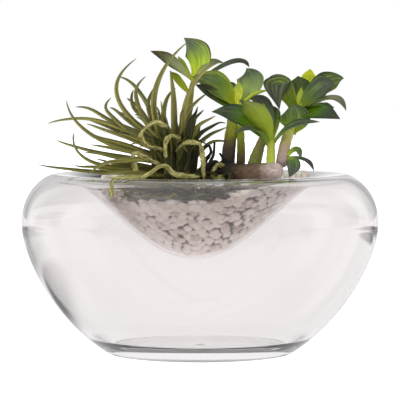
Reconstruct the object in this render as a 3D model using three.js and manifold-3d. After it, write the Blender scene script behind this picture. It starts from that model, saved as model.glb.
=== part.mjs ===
// Succulent arrangement in a hand-blown glass vase.
//
// A wide double-walled vase carries a cone-shaped bowl in its top. The bowl holds white pebbles, a
// slender grass-like succulent on the left and a branching succulent with broad leaves on the right.
// Millimetres, +Z up, the vase stands on z = 0 round the Z axis, and -Y is the front.
import * as THREE from 'three';
import { ConvexHull } from 'three/addons/math/ConvexHull.js';
import Module from 'manifold-3d';

const wasm = await Module();
wasm.setup();

// ---------------------------------------------------------------- driving dimensions

const GAP = 0.35;              // clear space kept between pieces that touch

const VASE = {
  foot: 76.5,                  // radius of the flat foot
  belly: 150,                  // widest radius
  bellyHeight: 110,
  crest: 122,                  // radius of the rim fold
  height: 151,
  bowlTop: 92,                 // radius where the rim turns down into the bowl
  bowlTopHeight: 143,
  bowlFloor: 80.8,             // height of the bowl's lowest point, pebble side
  bowlShift: -4,               // the bowl sits a little to the left of the axis
  wall: 4,
  bowlWall: 3,
  base: 6.5,                   // thickness of the heavy bottom
  heel: 3,                     // how far the hollow's floor and side stay from their corner
  vent: 4,                     // radius of the vent into the hollow
  segments: 44,
};
const OUTLINE_STEPS = { wall: 8, shoulder: 6, flare: 4, bowl: 6 };

// The heap climbs by its rise while lean * x + y goes from one value to the other.
const BED = { front: 131, rise: 16, from: -70, to: -15, lean: 0.9, clear: 0.42 };
// The stones lie on a spiral; between them the gaps dip, but by no more than a share of the depth.
const STONES = { count: 680, turn: 137.50776, dip: 3.4, share: 0.3, probe: 0.5, level: 1e-6 };

const SWEEP = { first: 0.02, last: 0.96 };   // where a sweep's first and last rings lie
const STALK = { sides: 8, steps: 6, endShare: 0.62, roundness: 6 };
const LEAF = {
  steps: 5,
  cup: 0.3,                    // lift of the margins over the midrib, as a share of the half width
  thick: 2.4,
  thinning: 0.6,               // share of its thickness that a leaf loses towards its tip
  fullest: 0.6,                // how far along its midrib a leaf is widest
  neck: 0.36,                  // width at its base, as a share of the full width
  swell: 0.8,
  point: 1.6,
  hollow: 0.3,
};
const KEEL = { flank: 0.8, rib: 0.7, back: 1.3 };   // shares of a leaf's half thickness
const BLADE = { steps: 5, width: 4.2, thick: 2.8, taper: 2.2, end: 0.14 };
const CURL = { steps: 11, width: 4.2, thick: 1.4, taper: 5, end: 0.45 };

// The crown is the short dense stock that all the slender blades grow from.
const CROWN = { at: [-21, -22], foot: 133, top: 182, radius: 17, toe: 3, rootAt: 0.8, rootIn: 0.5 };
const FILLER = {
  count: 24,
  length: 46,
  uneven: 0.2,                 // share of the length that comes and goes from blade to blade
  turn: 137.5,
  leastLean: 0.25,
  addedLean: 0.9,
  root: 6,                     // least depth of a root below the crown's top
  drop: 22,                    // how much lower a blade starts for each unit of lean
  middle: { out: 9, reach: 0.5, rise: 0.62 },
  tip: { out: 10, rise: 1.15, sag: 0.55 },
};

// ---------------------------------------------------------------- colours

const finish = (color, roughness, metalness = 0) => ({ color, roughness, metalness });
const GLASS = finish(0xeef0f0, 0.05);
const PEBBLE = finish(0xd9d4d0, 0.8);
const BARK = finish(0x6b5344, 0.85);
const STEM = finish(0x9aa544, 0.6);
const LEAF_GREEN = finish(0x5d8036, 0.45);
const LEAF_LIME = finish(0xa6b545, 0.5);
const LEAF_DUSK = finish(0x3f4f4c, 0.45);
const BLADE_OLIVE = finish(0x6d7434, 0.55);
const CURL_STRAW = finish(0xaaa85e, 0.65);

// ---------------------------------------------------------------- small helpers

const vec = ([x, y, z]) => new THREE.Vector3(x, y, z);
const plus = (a, b) => a.map((value, i) => value + b[i]);
const smooth = (value, from, to) => THREE.MathUtils.smoothstep(value, from, to);

// A curve through three points, reached at 0, one half and 1.
function arch(start, middle, end) {
  const [a, m, b] = [start, middle, end].map(vec);
  const control = m.clone().multiplyScalar(2).sub(a.clone().add(b).multiplyScalar(0.5));
  return new THREE.QuadraticBezierCurve3(a, control, b);
}

// A closed solid from its points and the numbers of each face's three corners.
const solidFrom = (points, faces) => new wasm.Manifold(new wasm.Mesh({
  numProp: 3,
  vertProperties: Float32Array.from(points.flatMap((p) => [p.x, p.y, p.z])),
  triVerts: Uint32Array.from(faces),
}));

// Joins rings of points, and a pole at each end, into one closed manifold body.
function loft(rings, startPole, endPole) {
  const sides = rings[0].length;
  const points = [startPole, ...rings.flat(), endPole];
  const last = points.length - 1;
  const at = (ring, side) => 1 + ring * sides + (side % sides);
  const faces = [];
  for (let side = 0; side < sides; side += 1) {
    faces.push(0, at(0, side + 1), at(0, side));
    for (let ring = 0; ring < rings.length - 1; ring += 1) {
      faces.push(at(ring, side), at(ring, side + 1), at(ring + 1, side));
      faces.push(at(ring + 1, side), at(ring, side + 1), at(ring + 1, side + 1));
    }
    faces.push(last, at(rings.length - 1, side), at(rings.length - 1, side + 1));
  }
  return solidFrom(points, faces);
}

// Carries a flat section along a curve. section(u) gives [side, normal] pairs going round the curve,
// and face is the way that the normal looks.
function sweep(curve, face, steps, section) {
  const rings = [];
  for (let step = 0; step <= steps; step += 1) {
    const u = SWEEP.first + ((SWEEP.last - SWEEP.first) * step) / steps;
    const tangent = curve.getTangent(u);
    const normal = vec(face).addScaledVector(tangent, -vec(face).dot(tangent)).normalize();
    const side = normal.clone().cross(tangent);
    rings.push(section(u).map(([s, n]) => curve.getPoint(u)
      .addScaledVector(side, s).addScaledVector(normal, n)));
  }
  return loft(rings, curve.getPoint(0), curve.getPoint(1));
}

// ---------------------------------------------------------------- the vase

const cubic = (...points) => new THREE.CubicBezierCurve(...points.map(([r, z]) => new THREE.Vector2(r, z)));
const wallSide = cubic([VASE.foot, 0], [125.7, 30.7], [VASE.belly, 84], [VASE.belly, VASE.bellyHeight]);
const shoulder = cubic([VASE.belly, VASE.bellyHeight], [VASE.belly, 137],
  [130, VASE.height], [VASE.crest, VASE.height]);
const flare = cubic([VASE.crest, VASE.height], [112, VASE.height],
  [99, 150], [VASE.bowlTop, VASE.bowlTopHeight]);
const bowl = cubic([VASE.bowlTop, VASE.bowlTopHeight], [48, 100],
  [30, VASE.bowlFloor], [0, VASE.bowlFloor]);

// Moves each point of an open outline to its left by an amount that may change along it.
function offsetOutline(points, amount) {
  return points.map((point, i) => {
    const before = points[Math.max(i - 1, 0)];
    const after = points[Math.min(i + 1, points.length - 1)];
    const along = after.clone().sub(before).normalize();
    return new THREE.Vector2(point.x - along.y * amount(i), point.y + along.x * amount(i));
  });
}

// The outside from the foot over the rim to the lowest point of the bowl.
function outsideOutline() {
  const run = (curve, steps) => curve.getPoints(steps).slice(1);
  return [new THREE.Vector2(VASE.foot, 0), ...run(wallSide, OUTLINE_STEPS.wall),
    ...run(shoulder, OUTLINE_STEPS.shoulder), ...run(flare, OUTLINE_STEPS.flare),
    ...run(bowl, OUTLINE_STEPS.bowl)];
}

// The bowl sits to one side; the foot, belly and rim stay round the axis.
function bowlOffset(r, z) {
  const isBowl = z > VASE.height / 2;
  return isBowl ? VASE.bowlShift * (1 - smooth(r, VASE.bowlTop, VASE.crest)) : 0;
}

function circleRing(r, z, segments) {
  return Array.from({ length: segments }, (_, i) => {
    const angle = (2 * Math.PI * i) / segments;
    return new THREE.Vector3(bowlOffset(r, z) + r * Math.cos(angle), r * Math.sin(angle), z);
  });
}

// One piece of glass: outside, rim, bowl, hollow inside, heavy base and vent.
function buildVase(grow) {
  const outside = outsideOutline();
  const bowlStart = outside.length - OUTLINE_STEPS.bowl;
  const wall = (i) => (i >= bowlStart ? VASE.bowlWall : VASE.wall);
  const hollow = offsetOutline(outside, wall)
    .filter((p) => p.y > VASE.base + VASE.heel && p.x > 0.1).reverse();
  const floor = [[VASE.foot - VASE.heel, VASE.base], [VASE.vent, VASE.base], [VASE.vent, 0]];
  const skin = offsetOutline(outside, () => -grow);
  const outline = [...hollow, ...floor.map(([r, z]) => new THREE.Vector2(r, z)), ...skin.slice(0, -1)];
  const rings = outline.map((p) => circleRing(p.x, p.y, VASE.segments));
  const pole = (z) => new THREE.Vector3(VASE.bowlShift, 0, z);
  return loft(rings, pole(VASE.bowlFloor - VASE.bowlWall), pole(VASE.bowlFloor + grow));
}

// ---------------------------------------------------------------- the pebbles

// Height of the heaped pebbles: low along the front left, up to the rim at the back right.
const bedHeight = (x, y) => BED.front + BED.rise * smooth(BED.lean * x + y, BED.from, BED.to);

// Radius of an outline that climbs steadily outward, at one height.
function radiusAt(outline, z) {
  const k = Math.max(1, outline.findIndex((p) => p.y >= z));
  const [low, high] = [outline[k - 1], outline[k]];
  return THREE.MathUtils.mapLinear(z, low.y, high.y, low.x, high.x);
}

// Height of such an outline at one radius.
function heightAt(outline, r) {
  const k = Math.max(1, outline.findIndex((p) => p.x >= r));
  const [low, high] = [outline[k - 1], outline[k]];
  return THREE.MathUtils.mapLinear(r, low.x, high.x, low.y, high.y);
}

// The bed's skin along the bowl's glass, from its lowest point outward: radius and height.
function bedSkin() {
  const climb = OUTLINE_STEPS.flare + OUTLINE_STEPS.bowl;
  return offsetOutline(outsideOutline(), () => -BED.clear).slice(-climb).reverse();
}

// The middle section of the bed: up its skin to the rim of the heap, then in to the axis.
function bedSection(skin) {
  const height = BED.front + BED.rise / 2;
  const rim = new THREE.Vector2(radiusAt(skin, height), height);
  return [...skin.filter((p) => p.y < height), rim, new THREE.Vector2(0, height)];
}

// Points that share out the area which a section sweeps round the axis.
function evenPoints(section, count) {
  const bands = section.slice(1).map((p, k) => (p.x + section[k].x) * p.distanceTo(section[k]));
  const total = bands.reduce((sum, band) => sum + band, 0);
  return Array.from({ length: count }, (_, i) => {
    let rest = (total * (i + 0.5)) / count;
    let k = 0;
    for (; rest > bands[k]; k += 1) rest -= bands[k];
    const [a, b] = [section[k], section[k + 1]];
    const r = Math.sqrt(a.x ** 2 + (rest / bands[k]) * (b.x ** 2 - a.x ** 2));
    return a.clone().lerp(b, (r - a.x) / (b.x - a.x));
  });
}

// Where one stone lies: its outermost point, the way into the bed, and how far the gaps dip there.
function stoneAt(skin, middle, angle, grow) {
  const top = BED.front + BED.rise / 2;
  const lowest = skin[0].y;
  const [dx, dy] = [Math.cos(angle), Math.sin(angle)];
  const height = bedHeight(VASE.bowlTop * dx, VASE.bowlTop * dy);
  const onHeap = middle.y > top - STONES.level;
  const z = lowest + ((height - lowest) * (middle.y - lowest)) / (top - lowest);
  const r = radiusAt(skin, z) * (onHeap ? middle.x / radiusAt(skin, top) : 1);
  const slope = radiusAt(skin, z + STONES.probe) - radiusAt(skin, z - STONES.probe);
  const inward = onHeap ? new THREE.Vector3(0, 0, -1)
    : new THREE.Vector3(-dx, -dy, slope / (2 * STONES.probe)).normalize();
  const point = new THREE.Vector3(bowlOffset(r, z) + r * dx, r * dy, z);
  if (onHeap) point.z = bedHeight(point.x, point.y);
  const depth = onHeap ? point.z - heightAt(skin, r) : height - z;
  const dip = Math.min(STONES.dip, STONES.share * depth);
  return { point: point.addScaledVector(inward, -grow), inward, dip };
}

// The same spiral on a unit ball gives each stone's neighbours, three at a time.
function neighbours(count) {
  const ball = Array.from({ length: count }, (_, i) => {
    const height = (2 * i + 1) / count - 1;
    const angle = THREE.MathUtils.degToRad(STONES.turn * i);
    const r = Math.sqrt(1 - height ** 2);
    return new THREE.Vector3(r * Math.cos(angle), r * Math.sin(angle), height);
  });
  const number = new Map(ball.map((point, i) => [point, i]));
  const { faces } = new ConvexHull().setFromPoints(ball);
  const order = new Map(faces.map((face, i) => [face, i]));
  return faces.map(({ edge }) => [edge, edge.next, edge.prev]
    .map((side) => ({ stone: number.get(side.tail().point), across: order.get(side.twin.face) })));
}

// The pebbles fill the bowl from its glass up to the heaped surface: each stone is a blunt point
// with gaps round it. The crown has a socket in the heap.
function buildBed(grow) {
  const skin = bedSkin();
  const stones = evenPoints(bedSection(skin), STONES.count)
    .map((middle, i) => stoneAt(skin, middle, THREE.MathUtils.degToRad(STONES.turn * i), grow));
  const cells = neighbours(STONES.count);
  const gaps = cells.map((sides) => {
    const around = sides.map(({ stone }) => stones[stone]);
    const sum = (pick) => around.reduce((total, one) => total.add(pick(one)), new THREE.Vector3());
    const dip = around.reduce((total, one) => total + one.dip, 0) / 3;
    return sum((one) => one.point).divideScalar(3).addScaledVector(sum((one) => one.inward).normalize(), dip);
  });
  const faces = cells.flatMap((sides, i) => sides
    .flatMap(({ stone, across }) => [stone, STONES.count + across, STONES.count + i]));
  const heap = solidFrom([...stones.map((one) => one.point), ...gaps], faces);
  return heap.subtract(buildCrown(GAP - grow));
}

// ---------------------------------------------------------------- trunk and stems

const circleSection = (radius) => Array.from({ length: STALK.sides }, (_, i) => {
  const angle = (2 * Math.PI * i) / STALK.sides;
  return [radius * Math.cos(angle), radius * Math.sin(angle)];
});

// A round stalk whose radius goes from one end's to the other's, rounded off at both ends.
function stalk({ from, middle, to, radii }, grow) {
  const [first, last] = radii;
  const rounded = (u) => Math.min(1, STALK.endShare + STALK.roundness * Math.min(u, 1 - u));
  const radius = (u) => (first + (last - first) * u) * rounded(u) + grow;
  return sweep(arch(from, middle, to), [0.3, -0.2, 1], STALK.steps, (u) => circleSection(radius(u)));
}

// The thick old trunk lies in the bowl with its cut end on the rim; the stems rise from it.
const TRUNK = { from: [8, -30, 153.6], middle: [37, -63, 154], to: [65, -92, 157.4], radii: [8.2, 6.8] };
const STEMS = {
  stem_tall: { from: [-9, 22, 132], middle: [-10, 25, 188], to: [-6, 25, 229], radii: [3.4, 2.2] },
  stem_middle: { from: [23, -40, 156], middle: [25, -22, 180], to: [30, -5, 208], radii: [6, 4.2] },
  stem_side: { from: [33, -50, 157], middle: [34, -31, 172], to: [33, -14, 192], radii: [3.8, 3] },
  stem_short: { from: [44, -62, 158], middle: [47, -56, 170], to: [53, -52, 184], radii: [6, 3.2] },
  stem_front: { from: [57, -84, 160], middle: [57.5, -72, 170], to: [58, -60, 181], radii: [3.8, 3] },
  stem_right: { from: [66, -78, 160], middle: [71, -55, 182], to: [81, -25, 204], radii: [5, 3.6] },
};

// ---------------------------------------------------------------- broad leaves

// A pointed oval: a narrow neck, full past the middle, then drawn to a tip with hollow sides.
const leafOutline = (u) => {
  const t = Math.max(0, (u - LEAF.fullest) / (1 - LEAF.fullest));
  const rise = Math.sin((Math.PI / 2) * Math.min(1, u / LEAF.fullest)) ** LEAF.swell;
  return Math.max(rise * (1 - t ** LEAF.point) * (1 - LEAF.hollow * t ** 2), LEAF.neck * (1 - u));
};

// Eight points round the leaf: its margins lift above the midrib and its back is keeled.
function leafSection(half, thick, grow) {
  const lift = LEAF.cup * half;
  const [a, b] = [half + grow, thick / 2 + grow];
  const [upper, lower] = [lift / 4 + b * KEEL.flank, lift / 4 - b * KEEL.flank];
  return [[a, lift], [a / 2, upper], [0, b * KEEL.rib], [-a / 2, upper],
    [-a, lift], [-a / 2, lower], [0, -b * KEEL.back], [a / 2, lower]];
}

function leaf({ base = [0, 0, 0], mid, tip, width, face }, hub, grow) {
  const curve = arch(plus(hub, base), plus(hub, mid), plus(hub, tip));
  const half = (u) => (width / 2) * leafOutline(u);
  const thick = (u) => LEAF.thick * (1 - LEAF.thinning * u);
  return sweep(curve, face, LEAF.steps, (u) => leafSection(half(u), thick(u), grow));
}

// Each rosette lists its leaves from its hub: the middle and the tip of the midrib, the width, and
// the way that the upper surface faces.
const ROSETTES = {
  top: {
    hub: [-6, 25, 229],
    leaves: {
      upright: { mid: [5, 9, 20], tip: [-8, 13, 36.5], width: 22, face: [0, -1, 0.2] },
      left: { mid: [-18, -11, 15], tip: [-36, -17, 25], width: 13, face: [0.3, -0.8, 0.6] },
      lower: { base: [-2, -1, -12], mid: [-12, -7, -1], tip: [-19, -11, 8], width: 9,
        face: [0.5, -0.8, 0.5] },
      small: { base: [0, 1, 0], mid: [-8, 11, 13], tip: [-13, 19, 21], width: 5, face: [0.4, -0.8, 0.4] },
      right: { base: [1, 0, 0], mid: [14, 3, 13], tip: [26, 5, 15], width: 12, face: [-0.2, -0.5, 1] },
      arched: { base: [2, -1, -2], mid: [33, -3, 15], tip: [47.5, -11, 11], width: 11, face: [0, -0.3, 1] },
    },
  },
  middle: {
    hub: [30, -5, 208],
    leaves: {
      striped: { mid: [-15, -10, 15.5], tip: [-37, -13, 24.5], width: 25, face: [0.4, -0.8, 0.5] },
      dark: { base: [-1, -1, -3], mid: [-18, -17, 8], tip: [-34, -25, 18], width: 16,
        face: [0.4, -0.7, 0.6] },
      heart: { base: [1, -1, 1], mid: [2, 0, 11], tip: [2.5, 3, 20], width: 9, face: [0, -1, 0] },
      broad: { base: [2, 0, 0], mid: [12.5, 11, 17.5], tip: [9, 19, 31.5], width: 23, face: [-0.2, -1, 0.2] },
      side: { base: [2, -1, 0], mid: [15, -7, 9], tip: [27, -11, 13], width: 8, face: [-0.3, -0.3, 1] },
      back: { base: [0, 2, 0], mid: [-6, 23, 13], tip: [-16, 41, 20], width: 16, face: [0, -0.5, 1] },
    },
  },
  front: {
    hub: [58, -60, 181],
    leaves: {
      front: { base: [0, -1, -2], mid: [-12, -16, 18], tip: [-23, -24, 32], width: 24,
        face: [0.3, 0.7, 0.6] },
      rising: { base: [-1, 0, 0], mid: [-12, 0, 19], tip: [-27, 4, 33], width: 18,
        face: [0.6, -0.5, 0.6] },
      long: { base: [-1, 0, -3], mid: [-23, -10, 16.5], tip: [-49, -14, 23], width: 22,
        face: [0.1, -0.7, 0.7] },
      droop: { base: [-2, -1, -6], mid: [-14, -18, 8.5], tip: [-31, -28, 5], width: 11,
        face: [0, -0.4, 1] },
      top: { base: [0, 1, 0], mid: [-5, 16, 26], tip: [-17, 26, 33], width: 14, face: [0.2, -0.9, 0.3] },
      heart: { base: [0, 0, 3], mid: [-5, 0, 19], tip: [-6, 0, 30], width: 7, face: [0, -1, 0.2] },
      right: { base: [1, 1, 0], mid: [3.5, 11, 16], tip: [2, 20, 27.5], width: 12, face: [-0.4, -0.8, 0.2] },
      sweep: { base: [2, -1, -3], mid: [16, -10, 10.5], tip: [39, -20, 15], width: 14,
        face: [-0.2, -0.4, 1] },
    },
  },
  right: {
    hub: [81, -25, 204],
    leaves: {
      droop: { base: [-2, 0, 0], mid: [-16, -14, 22], tip: [-16, -30, 1], width: 23,
        face: [-0.3, -0.8, 0.6] },
      edge: { base: [-1, 1, 0], mid: [-10, 17, 24], tip: [-23, 27, 28], width: 10,
        face: [0.3, -0.5, 0.8] },
      back: { base: [0, 2, 0], mid: [2, 19, 17], tip: [1, 27, 29], width: 19, face: [0, -1, 0.4] },
      lime: { base: [1, 2, -2], mid: [9, 27, 21], tip: [12, 41, 35], width: 13, face: [0, -1, 0.4] },
      heart: { base: [1, -1, 2], mid: [2, -1, 10], tip: [3, -1, 20], width: 7, face: [0, -1, 0.2] },
      inner: { base: [-1, 0, 1], mid: [-6, 1, 13], tip: [-8, 3, 23], width: 7, face: [0.4, -0.9, 0.2] },
      blue: { base: [2, -1, 0], mid: [17, -7, 17], tip: [31, -13, 21], width: 21,
        face: [-0.3, -0.9, 0.5] },
      far: { base: [2, 1, 0], mid: [22, 15, 20.5], tip: [39.5, 19, 27], width: 21, face: [-0.2, -0.8, 0.5] },
      curl: { base: [2, -1, -1], mid: [26, -17, 10.5], tip: [39, -23, 0], width: 12, face: [0, -0.3, 1] },
      brown: { base: [1, -2, -1], mid: [14, -20, 3.5], tip: [29, -33, 3], width: 15, face: [0, -0.2, 1] },
      low: { base: [0, -2, -5], mid: [14, -31, -1], tip: [33, -47, -6], width: 19, face: [-0.1, -0.9, 0.7] },
      cheek: { base: [-6, -16, -17], mid: [-4, -23, -5], tip: [-6, -28, 7], width: 27,
        face: [0, -0.9, 0.5] },
    },
  },
  low: {
    hub: [71, -75, 166],
    leaves: {
      down: { mid: [4, -9, -4], tip: [0.5, -14, -15], width: 12, face: [0.2, -1, 0.3] },
      arched: { base: [1, 0, 1], mid: [14, -5, -1], tip: [21, -8, -10], width: 7, face: [0.2, -0.3, 1] },
      small: { base: [0, 1, 2], mid: [7, 3, 7], tip: [11, 2, 0], width: 8, face: [0, -0.5, 1] },
    },
  },
};

const LIME_LEAVES = new Set(['heart', 'lime', 'lower', 'small', 'inner', 'side']);
const DUSK_LEAVES = new Set(['arched', 'dark', 'blue', 'top', 'droop', 'edge', 'down']);
function leafFinish(name) {
  if (LIME_LEAVES.has(name)) return LEAF_LIME;
  return DUSK_LEAVES.has(name) ? LEAF_DUSK : LEAF_GREEN;
}

// ---------------------------------------------------------------- slender blades

const bladeSection = (half, thick, grow) => [[half + grow, 0], [0, thick + grow],
  [-half - grow, 0], [0, -thick - grow]];

// Where a blade leaves the crown: inside its skin, at one height, on the side of a point.
function crownRoot(height, [x, y]) {
  const out = new THREE.Vector2(x - CROWN.at[0], y - CROWN.at[1]).normalize();
  const level = (height - CROWN.foot) / (CROWN.top - CROWN.foot);
  const r = CROWN.radius * (CROWN.rootAt - CROWN.rootIn * level);
  return [CROWN.at[0] + r * out.x, CROWN.at[1] + r * out.y, height];
}

// A blade keeps its width for most of its length and then tapers to a point.
function blade([height, mid, tip, width = BLADE.width], grow) {
  const taper = (u) => Math.min(1, BLADE.taper * (1 - u) + BLADE.end);
  return sweep(arch(crownRoot(height, mid), mid, tip), [0.2, -0.6, 0.77], BLADE.steps,
    (u) => bladeSection((width / 2) * taper(u), (BLADE.thick / 2) * taper(u), grow));
}

// Blades that stand clear of the tuft: height at the crown, middle, tip and any other width.
const LONG_BLADES = {
  blade_rim_left: [155, [-90, -46, 155], [-133, -60, 161]],
  blade_far_left: [172, [-85, -5, 195], [-128, -2, 193]],
  blade_high_left: [166, [-87, -35, 183], [-110, -40, 213]],
  blade_sweep_left: [161, [-86, -48, 171], [-118, -58, 181]],
  blade_hook_left: [157, [-87, -65, 163], [-102, -78, 187]],
  blade_tall_left: [175, [-69, 5, 214], [-53, 12, 248]],
  blade_spear: [172, [-50, 8, 218], [-70, 22, 232]],
  blade_tall: [170, [-37, -34, 220], [-10, -40, 261], 5],
  blade_reach: [168, [-8, -32, 221], [19, -30, 245]],
};

// Blades that crowd together and grow out of the crown as one tuft.
const TUFT_BLADES = [
  [172, [-77, 0, 198], [-105, 8, 207]],
  [158, [-75, -62, 157], [-102, -72, 161]],
  [172, [-72, -10, 196], [-74, -6, 215]],
  [176, [-53, 2, 209], [-45, 6, 233]],
  [178, [-53, 8, 203], [-56, 16, 221]],
  [176, [-42, -22, 203], [-37, -18, 225]],
  [178, [-22, -14, 213], [-25, -10, 238], 5],
  [176, [-30, -8, 205], [-20, -4, 223]],
  [174, [-11, -18, 201], [7, -14, 219]],
  [172, [-2, -28, 190], [13, -34, 200]],
  [168, [4, -22, 181], [23, -28, 191]],
  [156, [-60, -76, 166], [-89, -100, 155], 5],
  [150, [-56, -88, 155], [-80, -100, 154], 5],
  [170, [-74, 6, 189], [-99, 14, 198]],
  [168, [-68, -10, 184], [-95, -8, 193]],
  [166, [-70, -30, 178], [-96, -34, 188]],
  [164, [-64, -42, 172], [-90, -56, 177]],
  [160, [-67, -52, 167], [-94, -70, 171]],
  [156, [-60, -60, 161], [-84, -84, 166]],
  [172, [-50, 14, 203], [-62, 26, 214]],
  [168, [-61, 20, 196], [-77, 34, 206]],
  [166, [-51, 34, 191], [-70, 56, 202]],
  [176, [-29, -40, 198], [-32, -52, 213]],
  [172, [-16, -44, 193], [-13, -58, 207]],
  [172, [-41, -44, 190], [-52, -62, 200]],
  [168, [-49, -56, 181], [-66, -80, 186]],
];

// Shorter blades fill the tuft: each turns by the golden angle and leans further out.
function fillerBlades() {
  return Array.from({ length: FILLER.count }, (_, i) => {
    const turn = THREE.MathUtils.degToRad(FILLER.turn * i);
    const lean = FILLER.leastLean + FILLER.addedLean * (i / FILLER.count);
    const out = [Math.cos(turn), Math.sin(turn)];
    const at = (r, z) => [CROWN.at[0] + out[0] * r, CROWN.at[1] + out[1] * r, z];
    const root = CROWN.top - FILLER.root - FILLER.drop * lean;
    const reach = FILLER.length * (1 - FILLER.uneven + FILLER.uneven * Math.sin(3 * i));
    const { middle, tip } = FILLER;
    return [root, at(middle.out + middle.reach * reach * lean, root + middle.rise * reach),
      at(tip.out + reach * lean, root + reach * (tip.rise - tip.sag * lean))];
  });
}

// The crown: a squat stock, wider at its foot, rounded on top.
function buildCrown(grow) {
  const levels = [[0, 0.8], [0.25, 1], [0.6, 0.85], [0.92, 0.5]];
  const rings = levels.map(([level, share]) => circleSection(CROWN.radius * share + grow)
    .map(([x, y]) => new THREE.Vector3(CROWN.at[0] + x, CROWN.at[1] + y,
      CROWN.foot + (CROWN.top - CROWN.foot) * level)));
  const pole = (z) => new THREE.Vector3(...CROWN.at, z);
  return loft(rings, pole(CROWN.foot - CROWN.toe - grow), pole(CROWN.top + grow));
}

function buildTuft(grow) {
  const blades = [...TUFT_BLADES, ...fillerBlades()].map((line) => blade(line, grow));
  return blades.reduce((tuft, one) => tuft.add(one), buildCrown(grow));
}

// ---------------------------------------------------------------- curled strips

// Dry, curled strips in front of the tuft, each along its own line of points.
const CURLS = {
  curl_loop: [[-26, -52, 191], [-37, -56, 195], [-48, -56, 186], [-45, -54, 177], [-33, -48, 173],
    [-27, -33, 171]],
  curl_tall: [[-19, -33, 168], [-16, -50, 175], [-8, -60, 179], [0, -63, 177], [2, -64, 168],
    [3, -66, 149]],
  curl_leg: [[-20, -32, 176], [-18, -48, 182], [-24, -55, 184], [-28, -56, 179], [-28, -57, 166]],
  curl_spur: [[-51, -68, 152], [-54, -67, 170], [-42, -62, 165], [-33, -56, 160]],
  curl_zigzag: [[-70, -127, 137], [-69, -116, 150.5], [-58, -107, 152.2], [-46, -100, 152], [-29, -91, 161],
    [-20, -90, 154], [0, -91, 152]],
  curl_hook: [[9, -55, 140], [10, -54, 152], [14, -53, 160], [18, -51, 159], [17, -47, 151]],
};

function curl(points, grow) {
  const curve = new THREE.CatmullRomCurve3(points.map(vec), false, 'centripetal');
  const half = (u) => (CURL.width / 2) * Math.min(1, CURL.end + CURL.taper * Math.min(u, 1 - u));
  return sweep(curve, [0.15, 1, 0.1], CURL.steps,
    (u) => bladeSection(half(u), CURL.thick / 2, grow));
}

// ---------------------------------------------------------------- assembly

const pieces = [];
const piece = (name, look, build) => pieces.push({ name, look, build });

piece('glass_vase', GLASS, buildVase);
piece('trunk', BARK, (grow) => stalk(TRUNK, grow));
for (const [name, line] of Object.entries(STEMS)) piece(name, STEM, (grow) => stalk(line, grow));
piece('pebble_bed', PEBBLE, buildBed);
for (const [name, line] of Object.entries(LONG_BLADES)) {
  piece(name, BLADE_OLIVE, (grow) => blade(line, grow));
}
piece('grass_tuft', BLADE_OLIVE, buildTuft);
for (const [rosette, { hub, leaves }] of Object.entries(ROSETTES)) {
  for (const [name, shape] of Object.entries(leaves)) {
    piece(`leaf_${rosette}_${name}`, leafFinish(name), (grow) => leaf(shape, hub, grow));
  }
}
for (const [name, line] of Object.entries(CURLS)) piece(name, CURL_STRAW, (grow) => curl(line, grow));

const apart = (a, b) => [0, 1, 2].some((i) => a.min[i] > b.max[i] || b.min[i] > a.max[i]);

// Cuts a soft piece back from everything placed before it, so that they lie a GAP apart.
function trimmed(solid, earlier) {
  const box = solid.boundingBox();
  const cut = earlier.filter((other) => !apart(box, other.boundingBox()))
    .reduce((rest, other) => rest.subtract(other), solid);
  const bodies = cut.decompose();
  return bodies.reduce((largest, body) => (body.volume() > largest.volume() ? body : largest));
}

function toMesh(name, { color, roughness, metalness }, solid) {
  const { vertProperties, triVerts } = solid.getMesh();
  const geometry = new THREE.BufferGeometry();
  geometry.setAttribute('position', new THREE.Float32BufferAttribute(vertProperties, 3));
  geometry.setIndex(Array.from(triVerts));
  geometry.computeVertexNormals();
  const mesh = new THREE.Mesh(geometry, new THREE.MeshStandardMaterial({ color, roughness, metalness }));
  mesh.name = name;
  return mesh;
}

const arrangement = new THREE.Group();
const placed = [];
for (const { name, look, build } of pieces) {
  const solid = trimmed(build(0), placed);
  placed.push(build(GAP).add(solid));
  arrangement.add(toMesh(name, look, solid));
}

export default arrangement;
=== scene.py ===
"""Looks of a succulent arrangement in a hand-blown glass vase.

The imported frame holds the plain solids. Here each of them gets its finished surface: clear glass, a
heap of tumbled marble pebbles, a slender grass-like plant and a branching plant with broad leaves.
Sizes are in millimetres and become metres when a mesh is made. +Z is up, the vase stands on z = 0
round the Z axis, and -Y is the front.
"""
import logging
import math
from dataclasses import dataclass, field
from enum import Enum

import bpy
import numpy as np
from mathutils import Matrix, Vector


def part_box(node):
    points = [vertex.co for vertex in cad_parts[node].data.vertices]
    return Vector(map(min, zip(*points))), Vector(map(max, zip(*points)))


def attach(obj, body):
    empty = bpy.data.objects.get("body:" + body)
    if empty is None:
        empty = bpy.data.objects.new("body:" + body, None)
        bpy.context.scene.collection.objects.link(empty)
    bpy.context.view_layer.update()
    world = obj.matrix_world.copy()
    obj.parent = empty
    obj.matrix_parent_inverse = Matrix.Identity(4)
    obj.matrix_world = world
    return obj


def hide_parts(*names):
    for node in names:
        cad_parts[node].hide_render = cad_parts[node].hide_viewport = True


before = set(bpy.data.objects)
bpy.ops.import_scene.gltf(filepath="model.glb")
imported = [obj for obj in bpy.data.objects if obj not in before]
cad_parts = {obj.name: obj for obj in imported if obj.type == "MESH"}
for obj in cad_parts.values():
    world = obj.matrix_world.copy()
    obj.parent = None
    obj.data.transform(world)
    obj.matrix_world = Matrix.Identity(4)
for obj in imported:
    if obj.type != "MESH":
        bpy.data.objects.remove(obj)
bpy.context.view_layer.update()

LOG = logging.getLogger("arrangement")
MM = 0.001
BOWL_SHIFT = -4.0
CROWN = (-21.0, -22.0)
GOLDEN_TURN = 137.5
GOLDEN_SHARE = 0.618
Array = np.ndarray
Socket = bpy.types.NodeSocket
Triple = tuple[float, float, float]


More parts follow.
